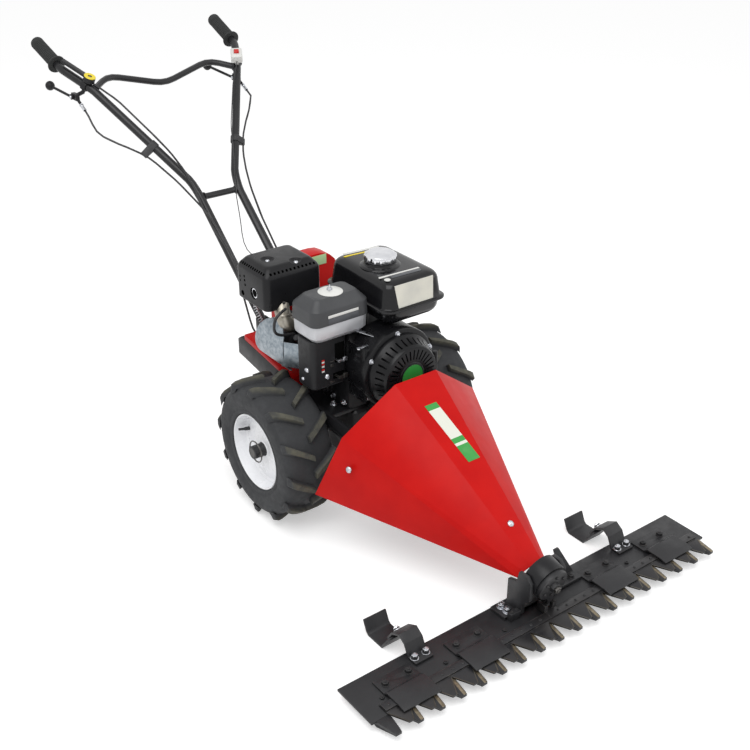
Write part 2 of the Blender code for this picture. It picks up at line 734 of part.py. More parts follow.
def build_belt_drive():
    """Make the belt, the idler and the red cover round the pulleys."""
    half = BELT_WIDTH / 2 - GAP
    loop = cut(prism(belt_outline(GAP + BELT_DEPTH), 1, BELT_Y - half, BELT_Y + half),
               prism(belt_outline(GAP + 0.0006), 1, BELT_Y - 0.02, BELT_Y + 0.02))
    node("drive_belt", loop, "rubber")
    outline = rounded_outline((COVER_RIGHT, COVER_LOW), (COVER_LEFT, COVER_TOP), 0.055, 5)
    sheet = COVER_SHEET
    hollow = rounded_outline((COVER_RIGHT + sheet, COVER_LOW + sheet),
                             (COVER_LEFT - sheet, COVER_TOP - sheet), 0.053, 5)
    shell = prism(outline, 1, COVER_FRONT, COVER_BACK)
    shell = cut(shell, prism(hollow, 1, COVER_FRONT + sheet, COVER_BACK - sheet))
    for x, z, radius in ((CRANK_X, CRANK_Z, CRANK_R), (0, INPUT_Z, AXLE_R)):
        shell = cut(shell, rod((x, COVER_FRONT - 0.01, z), (x, COVER_FRONT + 0.01, z),
                               radius + 0.004, sides=16))
    px, pz = IDLER_PIVOT
    back = COVER_BACK - sheet
    shell = union(shell, rod((px, BELT_Y + 0.009, pz), (px, back + 0.001, pz), 0.003, sides=12))
    node("belt_cover", shell, "red_paint")
    ix, iz = IDLER_AT
    arm = union(rod((px, BELT_Y + 0.0105, pz), (px, BELT_Y + 0.0135, pz), 0.007, sides=12),
                rod((ix, BELT_Y + 0.0105, iz), (ix, BELT_Y + 0.0135, iz), 0.007, sides=12))
    line = Vector((ix - px, iz - pz)).normalized() * 1.0
    across = Vector((-line.y, line.x)) * 0.005
    corners = [(px - across.x, pz - across.y), (px + across.x, pz + across.y),
               (ix + across.x, iz + across.y), (ix - across.x, iz - across.y)]
    arm = union(arm, prism(corners, 1, BELT_Y + 0.0106, BELT_Y + 0.0134))
    arm = cut(arm, rod((px, BELT_Y, pz), (px, BELT_Y + 0.03, pz), 0.003 + SHAFT_GAP, sides=12))
    roller = rod((ix, BELT_Y - 0.006, iz), (ix, BELT_Y + 0.006, iz), IDLER_R, sides=18)
    arm = union(arm, roller, rod((ix, BELT_Y, iz), (ix, BELT_Y + 0.012, iz), 0.004, sides=10))
    node("idler_arm", arm, "zinc", (px, BELT_Y, pz))


def build_blade_drive():
    """Make the drive tube with its round head, the inner shaft and the rocker arm."""
    start = drive_point(-0.115) + DRIVE_AXIS * GAP
    drum_back = DRUM - DRIVE_AXIS * (DRUM_LENGTH / 2)
    length = (drum_back - start).length
    bush = 0.025
    neck = 0.036
    wide = DRIVE_TUBE_R - DRIVE_TUBE_WALL
    profile = [(DRIVE_TUBE_BORE, 0), (DRIVE_TUBE_R + 0.006, 0), (DRIVE_TUBE_R + 0.006, 0.008),
               (DRIVE_TUBE_R, 0.008), (DRIVE_TUBE_R, length - neck - 0.010), (DRIVE_NECK_R, length - neck),
               (DRIVE_NECK_R, length), (DRUM_R, length),
               (DRUM_R, length + DRUM_LENGTH), (DRUM_R - 0.009, length + DRUM_LENGTH),
               (DRUM_R - 0.009, length + DRUM_WALL), (DRIVE_TUBE_BORE, length + DRUM_WALL),
               (DRIVE_TUBE_BORE, length - neck - 0.014), (wide, length - neck - 0.014), (wide, bush),
               (DRIVE_TUBE_BORE, bush)]
    tube = turned(profile, start, DRIVE_AXIS, sides=24)
    post = drive_point(-0.549)
    wall = rod(post + Vector((0, 0, DRIVE_TUBE_R - 0.004)), (0, -0.549, 0.1685), 0.006, sides=10)
    node("drive_tube", union(tube, wall), "black_paint")
    floor = DRUM - DRIVE_AXIS * (DRUM_LENGTH / 2 - DRUM_WALL)
    front = DRUM + DRIVE_AXIS * (DRUM_LENGTH / 2)
    disc = floor + DRIVE_AXIS * GAP
    shaft = union(rod(drive_point(-0.115) - DRIVE_AXIS * 0.0077, disc + DRIVE_AXIS * 0.002,
                      DRIVE_SHAFT_R, sides=12),
                  rod(disc, disc + DRIVE_AXIS * 0.012, ECCENTRIC_R, sides=20))
    pin = disc + DRIVE_AXIS * 0.011 + Vector((CRANK_PIN_OFFSET, 0, 0))
    shaft = union(shaft, rod(pin, pin + DRIVE_AXIS * ((front - pin).dot(DRIVE_AXIS) - 0.001),
                             CRANK_PIN_R, sides=10))
    node("drive_shaft", shaft, "steel", DRUM)
    lean = Matrix.Rotation(math.asin(KNIFE_REST / ROCKER_LENGTH), 4, DRIVE_AXIS)
    half = DRIVE_AXIS * (ROCKER_SHEET / 2)
    disc = rod(-half, half, ROCKER_DISC_R, sides=24)
    down = Vector((1, 0, 0)).cross(DRIVE_AXIS)
    down = down if down.z < 0 else -down
    arm = bmesh.new()
    corners = [arm.verts.new(down * reach + Vector((wide, 0, 0)) - half)
               for reach, wide in ((0.02, -0.014), (0.02, 0.014), (0.053, 0.0045), (0.053, -0.0045))]
    grown = bmesh.ops.extrude_face_region(arm, geom=[arm.faces.new(corners)])
    tops = [item for item in grown["geom"] if isinstance(item, bmesh.types.BMVert)]
    bmesh.ops.translate(arm, vec=half * 2, verts=tops)
    rocker = union(disc, outward(arm), ball(down * ROCKER_LENGTH, BALL_R),
                   rod(down * 0.050, down * 0.062, 0.0045, sides=10))
    rocker = union(rocker, rod(half * 0.9, half * 1.0 + DRIVE_AXIS * 0.008, 0.011, sides=6))
    moved(rocker, Matrix.Translation(ROCKER_PIVOT) @ lean)
    node("rocker_arm", rocker, "black_paint", ROCKER_PIVOT)


def build_bar():
    """Make the cutter bar plate, the bar foot and the guard fingers."""
    node("cutter_bar", box((-BAR_HALF, BAR_FRONT, BAR_LOW), (BAR_HALF, BAR_REAR, BAR_TOP)), "black_paint")
    foot = box((FOOT_X[0], FOOT_Y[0], FOOT_LOW), (FOOT_X[1], FOOT_Y[1], FOOT_TOP))
    near = DRUM_R + GAP
    cheek = [(-0.600, 0.032), (-0.643, 0.032), (-0.643, 0.056), (-0.662, 0.075), (-0.662, 0.116),
             (-0.650, 0.128), (-0.6285, 0.128), (-0.6235, 0.1022), (-0.600, 0.095)]
    for sign in (-1, 1):
        foot = union(foot, prism(cheek, 0, sign * near, sign * (near + CHEEK_SHEET)))
    blade = prism([(0.100, 0.032), (0.1335, 0.032), (0.083, 0.113), (0.070, 0.113)], 1, -0.608, -0.603)
    stop = box((-0.075, -0.643, FOOT_LOW + 0.0002), (-0.0495, -0.631, FOOT_TOP + 0.010))
    node("bar_foot", union(foot, blade, stop), "black_paint")
    side_view = [(-0.660, BAR_LOW - GAP - 0.007), (-0.660, BAR_LOW - GAP),
                 (BAR_FRONT - GAP, BAR_LOW - GAP), (BAR_FRONT - GAP, BAR_TOP),
                 (FINGER_TIP, BAR_TOP), (FINGER_TIP, BAR_TOP - 0.0065),
                 (BAR_FRONT - GAP, 0.0100), (-0.680, BAR_LOW - GAP - 0.007)]
    reach = (FINGER_COUNT - 1) / 2 * TOOTH_PITCH
    fingers = box((-reach, -0.6785, BAR_LOW - GAP - 0.006), (reach, -0.6620, BAR_LOW - GAP))
    for k in range(FINGER_COUNT):
        x = (k - (FINGER_COUNT - 1) / 2) * TOOTH_PITCH
        finger = prism(side_view, 0, -FINGER_HALF, FINGER_HALF)
        for vert in finger.verts:
            if vert.co.y < BAR_FRONT - 0.01:
                vert.co.x *= FINGER_TIP_HALF / FINGER_HALF
        fingers = union(fingers, moved(finger, Matrix.Translation((x, 0, 0))))
    node("guard_fingers", fingers, "steel")


def build_knife():
    """Make the sliding knife: its back with the driving head and the riveted sections."""
    middle = KNIFE_MIDDLE
    reach = (FINGER_COUNT - 2) / 2 * TOOTH_PITCH + SECTION_HALF
    back = box((middle - reach, KNIFE_BACK[0], KNIFE_BACK_LOW),
               (middle + reach, KNIFE_BACK[1], KNIFE_BACK_TOP))
    head = box((KNIFE_REST - 0.0149, KNIFE_BACK[0], KNIFE_BACK_LOW + 0.0002),
               (KNIFE_REST + 0.0149, -0.643, KNIFE_BACK_TOP + 0.0004))
    back = union(back, head)
    lug = BALL_R + BALL_CLEARANCE
    for sign in (-1, 1):
        ear = box((KNIFE_REST + sign * lug, -0.667, KNIFE_BACK_TOP - 0.001),
                  (KNIFE_REST + sign * 0.0149, -0.645, KNIFE_EAR_TOP))
        back = union(back, ear)
    outline = [(-SECTION_HALF, SECTION_BACK), (SECTION_HALF, SECTION_BACK),
               (SECTION_HALF, BAR_FRONT), (SECTION_TIP_HALF, SECTION_TIP),
               (-SECTION_TIP_HALF, SECTION_TIP), (-SECTION_HALF, BAR_FRONT)]
    for k in range(FINGER_COUNT - 1):
        x = middle + (k - (FINGER_COUNT - 2) / 2) * TOOTH_PITCH
        section = prism(outline, 2, SECTION_LOW, SECTION_LOW + SECTION_SHEET)
        back = union(back, moved(section, Matrix.Translation((x, 0, 0))))
    node("knife_bar", back, "black_paint")


def build_clips():
    """Make the hold-down clips over the knife and their bolts."""
    rise = KNIFE_BACK_TOP + GAP + 0.0001
    line = [(-0.612, FOOT_LOW + CLIP_SHEET / 2), (-0.649, FOOT_LOW + CLIP_SHEET / 2),
            (-0.657, rise + CLIP_SHEET / 2), (-0.691, rise + CLIP_SHEET / 2),
            (-0.708, rise + CLIP_SHEET / 2 - 0.0032)]
    for number, x in enumerate((-CLIP_X[1], -CLIP_X[0], CLIP_X[0], CLIP_X[1])):
        clip = prism(strap_outline(line, CLIP_SHEET), 0, x - CLIP_HALF, x + CLIP_HALF)
        for offset in (-CLIP_BOLT_X, CLIP_BOLT_X):
            place = Vector((x + offset, CLIP_BOLT_Y, FOOT_LOW + CLIP_SHEET - 0.001))
            clip = union(clip, hex_head(place, (0, 0, 1), 0.0070, 0.006))
        node("hold_down_clip_" + str(number + 1), clip, "black_paint")


def build_skids():
    """Make the two skid runners and the brackets that carry them."""
    half = SKID_SHEET / 2
    runner = [(-0.467, 0.031), (-0.4775, 0.008), (-0.484, half), (-0.526, half), (-0.5525, 0.0418)]
    holder = [(-0.625, FOOT_LOW + half), (-0.601, FOOT_LOW + half), (-0.589, 0.052), (-0.573, 0.0625),
              (-0.5500, 0.0500), (-0.5370, 0.0294)]
    seat = Vector((0, -0.5435, 0.0397))
    out = Vector((0, 0.845, 0.534)).normalized()
    for label, sign in SIDES:
        low, high = sign * SKID_X - SKID_WIDTH / 2, sign * SKID_X + SKID_WIDTH / 2
        node("skid_" + label, prism(strap_outline(runner, SKID_SHEET), 0, low, high), "black_paint")
        bracket = prism(strap_outline(holder, SKID_SHEET), 0, low + 0.006, high - 0.006)
        place = seat + out * (half - 0.001) + Vector((sign * SKID_X, 0, 0))
        bracket = union(bracket, hex_head(place, out, 0.0075, 0.006))
        for offset in (-0.0135, 0.0135):
            foot = Vector((sign * SKID_X + offset, -0.611, FOOT_LOW + SKID_SHEET - 0.001))
            bracket = union(bracket, hex_head(foot, (0, 0, 1), 0.0070, 0.007))
        node("skid_bracket_" + label, bracket, "black_paint")


def panel_point(row, along_share, across_share):
    """Return a point of the cover's left half: row 0 is the side, 1 the shoulder, 2 the top."""
    rear = [Vector(p) for p in PANEL_REAR]
    front = [Vector(p) for p in PANEL_FRONT]
    if row == 2:
        rear_point, front_point = rear[2].copy(), front[2].copy()
        rear_point.x *= 1 - across_share
        front_point.x *= 1 - across_share
    else:
        rear_point = rear[row].lerp(rear[row + 1], across_share)
        front_point = front[row].lerp(front[row + 1], across_share)
    return rear_point.lerp(front_point, along_share)


def panel_normal(row):
    """Return the outward direction of a panel of the cover's left half."""
    first = panel_point(row, 1.0, 0.0) - panel_point(row, 0.0, 0.0)
    second = panel_point(row, 0.0, 0.9) - panel_point(row, 0.0, 0.0)
    normal = first.cross(second).normalized()
    return normal if normal.x + normal.z > 0 else -normal


def build_cone_cover():
    """Make the folded sheet cover over the drive tube."""
    mesh = bmesh.new()
    rows = []
    for corners in (PANEL_REAR, PANEL_FRONT):
        line = [side(p, 1) for p in corners] + [side(p, -1) for p in reversed(corners)]
        rows.append(line)
    outer = [[mesh.verts.new(p) for p in line] for line in rows]
    normals = [panel_normal(0), panel_normal(1), Vector((0, 0, 1))]
    slope = Vector(PANEL_FRONT[2]) - Vector(PANEL_REAR[2])
    normals[2] = Vector((0, -slope.z, slope.y)).normalized() * (1 if slope.y > 0 else -1)
    inward = []
    for k in range(3):
        first = normals[k - 1] if k else normals[0]
        second = normals[k]
        middle = (first + second).normalized()
        inward.append(middle * (PANEL_SHEET / middle.dot(second)))
    inward = inward + [side(n, -1) for n in reversed(inward)]
    inner = [[mesh.verts.new(p - n) for p, n in zip(line, inward)] for line in rows]
    for k in range(5):
        mesh.faces.new((outer[0][k], outer[0][k + 1], outer[1][k + 1], outer[1][k]))
        mesh.faces.new((inner[0][k], inner[1][k], inner[1][k + 1], inner[0][k + 1]))
        for row in (0, 1):
            mesh.faces.new((outer[row][k], inner[row][k], inner[row][k + 1], outer[row][k + 1]))
    for k in (0, 5):
        mesh.faces.new((outer[0][k], outer[1][k], inner[1][k], inner[0][k]))
    node("cone_cover", outward(mesh), "red_paint", smooth=False)


def cylinder_place(reach, lift, y):
    """Return a point at a distance along and across the leaning cylinder."""
    ahead = Vector((-math.cos(CYLINDER_TILT), 0, math.sin(CYLINDER_TILT)))
    up = Vector((math.sin(CYLINDER_TILT), 0, math.cos(CYLINDER_TILT)))
    return CRANK + ahead * reach + up * lift + Vector((0, y, 0))


def cylinder_slab(near, far, half, rows):
    """Return a slab across the leaning cylinder between two distances from the crank."""
    corners = [cylinder_place(r, s * half, 0) for r, s in ((near, -1), (far, -1), (far, 1), (near, 1))]
    return prism([(p.x, p.z) for p in corners], 1, *rows)


def build_engine_block():
    """Make the crankcase with its barrel, the head and the rotating crank group."""
    case = stacked((CASE_X[0], CASE_Y[0]), (CASE_X[1], CASE_Y[1]),
                   ((MOUNT_TOP + GAP, 0.0), (CASE_TOP - 0.02, 0.0), (CASE_TOP, 0.014)), 0.016)
    barrel = (CYLINDER_Y[0] + 0.004, CYLINDER_Y[1] - 0.004)
    case = union(case, cylinder_slab(0.04, 0.098, CYLINDER_HALF, barrel))
    for x in (0.0, 0.075):
        for y in (-0.06, 0.03):
            case = union(case, rod((x, y, CASE_TOP - 0.006), (x, y, TANK_LOW - GAP), 0.007, sides=10))
    boss = rod((CRANK.x, CASE_Y[1] - 0.002, CRANK.z), (CRANK.x, COVER_FRONT - GAP, CRANK.z), 0.032, sides=20)
    case = union(case, boss)
    bore = rod((CRANK.x, CASE_Y[0] - 0.01, CRANK.z), (CRANK.x, COVER_FRONT + 0.01, CRANK.z),
               CRANK_R + SHAFT_GAP, sides=20)
    wall = 0.009
    chamber = box((CASE_X[0] + wall, CASE_Y[0] + wall, MOUNT_TOP + wall),
                  (CASE_X[1] - wall, CASE_Y[1] - wall, CASE_TOP - 0.016))
    node("engine_block", cut(case, bore, chamber), "engine_black")
    rows = CYLINDER_Y
    head = cylinder_slab(0.0983, 0.140, CYLINDER_HALF - 0.008, (rows[0] + 0.008, rows[1] - 0.008))
    for reach in (0.100, 0.110, 0.120, 0.130):
        head = union(head, cylinder_slab(reach, reach + 0.004, CYLINDER_HALF, rows))
    inset = (rows[0] + 0.006, rows[1] - 0.006)
    rocker_box = bevelled(cylinder_slab(0.1395, HEAD_REACH, CYLINDER_HALF - 0.004, inset), 0.004)
    node("cylinder_head", union(head, rocker_box), "aluminium")
    profile = [(0, SHROUD_FRONT + 0.012), (CRANK_R, SHROUD_FRONT + 0.012)]
    profile += pulley_steps(CRANK_R, PULLEY_R) + [(CRANK_R, BELT_Y + 0.016), (0, BELT_Y + 0.016)]
    node("crankshaft", turned(profile, CRANK, (0, 1, 0), sides=20), "steel", CRANK)
    hub = CRANK_R + SHAFT_GAP
    wheel = [(hub, 0.0), (0.030, 0.0), (0.034, 0.012), (FLYWHEEL_R, 0.012), (FLYWHEEL_R, 0.034),
             (0.055, 0.034), (0.050, 0.042), (hub, 0.042)]
    node("flywheel", turned(wheel, (CRANK.x, -0.105, CRANK.z), (0, -1, 0), sides=24), "aluminium", CRANK)


def build_fan_cover():
    """Make the fan shroud, the recoil cover and the starter grip."""
    centre = Vector((CRANK.x, 0, CRANK.z))
    outline = []
    for k in range(24):
        angle = 2 * math.pi * k / 24
        outline.append((centre.x + SHROUD_R * math.cos(angle), centre.z + SHROUD_R * math.sin(angle)))
    rear = CASE_Y[0] - GAP
    shell = prism(outline, 1, SHROUD_FRONT, rear)
    shell = union(shell, box((CASE_X[0] + 0.001, SHROUD_FRONT + 0.012, 0.300), (CRANK.x, rear, 0.425)))
    hollow = rod((centre.x, SHROUD_FRONT + SHROUD_SHEET, centre.z), (centre.x, rear + 0.01, centre.z),
                 SHROUD_R - SHROUD_SHEET, sides=24)
    mouth = rod((centre.x, SHROUD_FRONT - 0.01, centre.z), (centre.x, rear, centre.z),
                RECOIL_NOSE_R, sides=24)
    node("fan_shroud", cut(shell, hollow, mouth), "black_paint")
    sheet = 0.002
    front = -SHROUD_FRONT + GAP
    nose = -RECOIL_FRONT
    profile = [(RECOIL_R, front), (RECOIL_R, front + 0.006), (RECOIL_NOSE_R + 0.006, nose - 0.009),
               (RECOIL_NOSE_R, nose), (0.027, nose), (0.026, nose + 0.0025), (0, nose + 0.0025),
               (0, nose - sheet), (RECOIL_NOSE_R - 0.001, nose - sheet),
               (RECOIL_NOSE_R + 0.004, nose - 0.010), (RECOIL_R - sheet, front + 0.005),
               (RECOIL_R - sheet, front)]
    cover = turned(profile, (centre.x, 0, centre.z), (0, -1, 0), sides=22)
    node("recoil_cover", cover, "black_paint")
    start = centre + Vector((RECOIL_R - 0.004, -0.186, 0.0))
    middle = start + Vector((0.0075, 0, 0))
    reach = Vector((0, 0, 0.022))
    grip = union(rod(middle - reach, middle + reach, 0.006, sides=12),
                 rod(start + Vector((0.0028, 0, 0)), start + Vector((0.0085, 0, 0)), 0.005, sides=10))
    node("starter_grip", grip, "black_plastic", start)


def build_fuel_system():
    """Make the tank with its cap, the air cleaner and the carburettor parts."""
    low, high = (TANK_X[0], TANK_Y[0]), (TANK_X[1], TANK_Y[1])
    levels = ((TANK_LOW, 0.026), (TANK_LOW + 0.010, 0.014), (TANK_FLANGE - 0.006, 0.009),
              (TANK_FLANGE - 0.0055, 0.0), (TANK_FLANGE, 0.0), (TANK_FLANGE + 0.0005, 0.007),
              (TANK_TOP - 0.008, 0.010), (TANK_TOP - 0.002, 0.013), (TANK_TOP, 0.020))
    tank = stacked(low, high, levels, TANK_CORNER, 2)
    sheet = TANK_SHEET
    neck_top = CAP_TOP - 0.018
    tank = union(tank, rod((CAP_X, CAP_Y, TANK_TOP - 0.004), (CAP_X, CAP_Y, neck_top), NECK_R, sides=24))
    inner = stacked(low, high, ((TANK_LOW + sheet, 0.026 + sheet), (TANK_LOW + 0.012, 0.014 + sheet * 2),
                                (TANK_TOP - 0.010, 0.010 + sheet * 1.5), (TANK_TOP - sheet, 0.022)),
                               TANK_CORNER, 2)
    mouth = rod((CAP_X, CAP_Y, TANK_TOP - 0.02), (CAP_X, CAP_Y, neck_top + 0.01), NECK_R - 0.003, sides=24)
    node("fuel_tank", cut(tank, inner, mouth), "black_paint")
    bore = NECK_R + GAP
    cap = [(bore, -0.004), (CAP_R - 0.001, -0.004), (CAP_R, -0.002), (CAP_R, 0.012), (CAP_R - 0.005, 0.0177),
           (0, 0.0177), (0, 0.0003), (bore, 0.0003)]
    seat = (CAP_X, CAP_Y, neck_top)
    node("fuel_cap", turned(cap, seat, (0, 0, 1), sides=24), "chrome", seat)
    low, high = (CLEANER_X[0], CLEANER_Y[0]), (CLEANER_X[1], CLEANER_Y[1])
    base_low, base_high, top = CLEANER_Z
    base = stacked(low, high, ((base_low, 0.012), (base_low + 0.010, 0.003), (base_high, 0.002)), 0.020)
    tray = box((low[0] + 0.012, low[1] + 0.012, base_low + 0.012),
               (high[0] - 0.012, high[1] - 0.012, base_high + 0.01))
    x, y = -0.118, sum(CARB_Y) / 2
    base = union(cut(base, tray), box((x - 0.020, y - 0.016, 0.345), (x + 0.020, y + 0.016, 0.410)),
                 rod((x, y, 0.400), (x, y, base_low + 0.004), 0.015, sides=16),
                 rod((x, y, CARB_Z[0] + 0.0125), (x, y, 0.350), 0.014, sides=16))
    node("carburettor", base, "aluminium")
    cover = stacked(low, high, ((base_high + GAP, 0.0), (top - 0.022, 0.002), (top, 0.020)), 0.022)
    levels = ((base_high - 0.01, 0.004), (top - 0.024, 0.006), (top - 0.004, 0.024))
    hollow = stacked(low, high, levels, 0.020)
    stud_x, stud_y = (low[0] + high[0]) / 2, (low[1] + high[1]) / 2
    stud = rod((stud_x, stud_y, top - 0.01), (stud_x, stud_y, top + 0.01), 0.0033, sides=8)
    node("air_cleaner_cover", cut(cover, hollow, stud), "black_plastic")
    low, high = (CARB_X[0], CARB_Y[0]), (CARB_X[1], CARB_Y[1])
    shell = stacked(low, high, ((CARB_Z[0], 0.004), (CARB_Z[0] + 0.006, 0.0), (CARB_Z[1], 0.0)), 0.010)
    shell = cut(shell, box((low[0] + 0.003, low[1] + 0.003, CARB_Z[0] + 0.012),
                           (high[0] - 0.003, high[1] - 0.003, CARB_Z[1] + 0.01)))
    shell = cut(shell, rod((low[0] - 0.01, 0, AXLE.z), (-0.1385, 0, AXLE.z), TYRE_R + 0.0045, sides=48))
    for z in (0.352, 0.392):
        shell = cut(shell, box((-0.112, low[1] - 0.01, z - 0.004), (-0.098, low[1] + 0.01, z + 0.004)))
    node("carb_cover", shell, "black_plastic")
    for name, z in (("fuel_valve_lever", 0.352), ("choke_lever", 0.392)):
        pivot = Vector((-0.105, y - 0.0163, z))
        lever = union(rod(pivot, pivot + Vector((0, -0.0250, 0)), 0.0028, sides=10),
                      box(pivot + Vector((-0.0025, -0.0285, -0.0025)),
                          pivot + Vector((0.019, -0.0235, 0.0025))))
        node(name, lever, "zinc", pivot)


def build_exhaust():
    """Make the muffler, its slotted guard, the heat shield and the plug lead."""
    low, high = (GUARD_X[0], GUARD_Y[0]), (GUARD_X[1], GUARD_Y[1])
    guard = stacked(low, high, ((GUARD_Z[0], 0.0), (GUARD_Z[1] - 0.014, 0.0), (GUARD_Z[1], 0.012)), 0.016)
    sheet = GUARD_SHEET
    hollow = stacked(low, high, ((GUARD_Z[0] - 0.01, sheet), (GUARD_Z[1] - 0.0145, sheet),
                                 (GUARD_Z[1] - sheet, 0.012 + sheet)), 0.016)
    guard = cut(guard, hollow)
    slots = 9
    for k in range(slots):
        x = low[0] + 0.022 + k * (high[0] - low[0] - 0.044) / (slots - 1)
        y = low[1] + 0.022 + k * (high[1] - low[1] - 0.044) / (slots - 1)
        z = GUARD_Z[1] - 0.028
        guard = cut(guard, box((x - 0.0028, low[1] - 0.01, z), (x + 0.0028, low[1] + 0.01, z + 0.013)))
        guard = cut(guard, box((low[0] - 0.01, y - 0.0028, z), (low[0] + 0.01, y + 0.0028, z + 0.013)))
    hole = rod((low[0] - 0.01, 0.078, 0.506), (low[0] + 0.01, 0.078, 0.506), 0.0125, sides=16)
    node("muffler_guard", cut(guard, hole), "black_paint")
    body = stacked((low[0] + 0.010, low[1] + 0.008), (high[0] - 0.010, high[1] - 0.008),
                   ((GUARD_Z[0] + 0.004, 0.010), (GUARD_Z[0] + 0.014, 0.0), (GUARD_Z[1] - 0.030, 0.0),
                    (GUARD_Z[1] - 0.018, 0.010)), 0.024)
    stub = Vector((-0.100, 0.050, 0.0))
    body = union(body, rod(stub + Vector((0, 0, 0.4396)), stub + Vector((0, 0, GUARD_Z[0] + 0.010)),
                           0.012, sides=12))
    x, top = (low[0] + high[0]) / 2, GUARD_Z[1] - sheet - GAP
    for y in (low[1] + 0.040, high[1] - 0.040):
        body = union(body, rod((x, y, GUARD_Z[1] - 0.022), (x, y, top), 0.005, sides=10))
    inner = box((low[0] + 0.014, low[1] + 0.014, GUARD_Z[0] + 0.017),
                (high[0] - 0.014, high[1] - 0.014, GUARD_Z[1] - 0.033))
    outlet = rod((low[0] - 0.01, 0.078, 0.506), (low[0] + 0.03, 0.078, 0.506), 0.009, sides=12)
    node("muffler_body", cut(body, inner, outlet), "cast_iron")
    line = [(-0.1595, 0.3355), (-0.166, 0.352), (-0.171, 0.385), (-0.166, 0.420), (-0.156, 0.440)]
    shield = prism(strap_outline(line, 0.0015), 1, 0.022, 0.150)
    tab = box((-0.1453, 0.045, 0.398), (-0.1695, 0.065, 0.402))
    node("heat_shield", union(shield, tab), "zinc")


def tube_route(sign):
    """Return the bent middle line of one handle tube."""
    tip = GRIP_END - GRIP_AXIS * 0.0048
    return rounded_corners([side(p, sign) for p in (SOCKET, CROSSING, ELBOW, W_JOINT, GRIP_BEND, tip)],
                           (0.045, 0.045, 0.013, 0.018), 3)


def build_handle():
    """Make the welded handle of two tubes, a crossbar and a W bar, and its grips."""
    frame = union(pipe(tube_route(-1), TUBE_R, 3), rod(side(CROSSING, -1), CROSSING, CROSSBAR_R, sides=12))
    line = rounded_corners([side(W_JOINT, -1), side(W_CORNER, -1), W_MIDDLE, W_CORNER, W_JOINT],
                           (0.030,) * 3, 3)
    frame = union(frame, pipe(tube_route(1), TUBE_R, 3), pipe(line, CROSSBAR_R, 3))
    node("handle_frame", frame, "black_paint")
    for label, sign in SIDES:
        profile = [(TUBE_R + GAP, 0), (GRIP_FLANGE_R, 0), (GRIP_FLANGE_R, 0.004), (GRIP_R, 0.007),
                   (GRIP_R, GRIP_LENGTH - 0.006), (GRIP_R - GRIP_ROUND, GRIP_LENGTH), (0, GRIP_LENGTH),
                   (0, GRIP_LENGTH - 0.0045), (TUBE_R + GAP, GRIP_LENGTH - 0.0045)]
        grip = turned(profile, side(GRIP_START, sign), side(GRIP_AXIS, sign), sides=20)
        node("grip_" + label, grip, "rubber")


def tube_place(sign, y):
    """Return the middle of a handle tube at a given y, above the elbow."""
    low, high = Vector(ELBOW), Vector(W_JOINT)
    if y > high.y:
        low, high = high, GRIP_BEND
    return side(low.lerp(high, (y - low.y) / (high.y - low.y)), sign)


def tube_frame(sign):
    """Return the upper tube's direction and the upward direction square to it."""
    ahead = side((GRIP_BEND - Vector(W_JOINT)).normalized(), sign)
    up = (Vector((0, 0, 1)) - ahead * ahead.z).normalized()
    return ahead, up


def seated_block(centre, ahead, up, size):
    """Return a box with its length along the tube and its height along the upward direction."""
    across = ahead.cross(up)
    turn = Matrix((across, ahead, up)).transposed().to_4x4()
    half = Vector(size) / 2
    return moved(box(-half, half), Matrix.Translation(centre) @ turn)


def throttle_seat():
    """Return the foot of the throttle dial on the right tube and its upward direction."""
    ahead, up = tube_frame(-1)
    return tube_place(-1, THROTTLE_Y) + up * (TUBE_R + GAP), ahead, up


def throttle_base():
    """Return the foot, the dial seat and the pivot pin of the throttle."""
    seat, ahead, up = throttle_seat()
    return union(rod(seat, seat + up * 0.006, 0.006, sides=10),
                 rod(seat + up * 0.0035, seat + up * 0.008, DIAL_R, sides=20),
                 rod(seat + up * 0.007, seat + up * 0.014, 0.003, sides=10))


def adjuster_tip(sign):
    """Return the end of the cable adjuster below a clutch lever."""
    return LEVER_PIVOTS[sign] + Vector((0.010 * -LEVER_OUTWARD - 0.004, -0.055, -0.024))


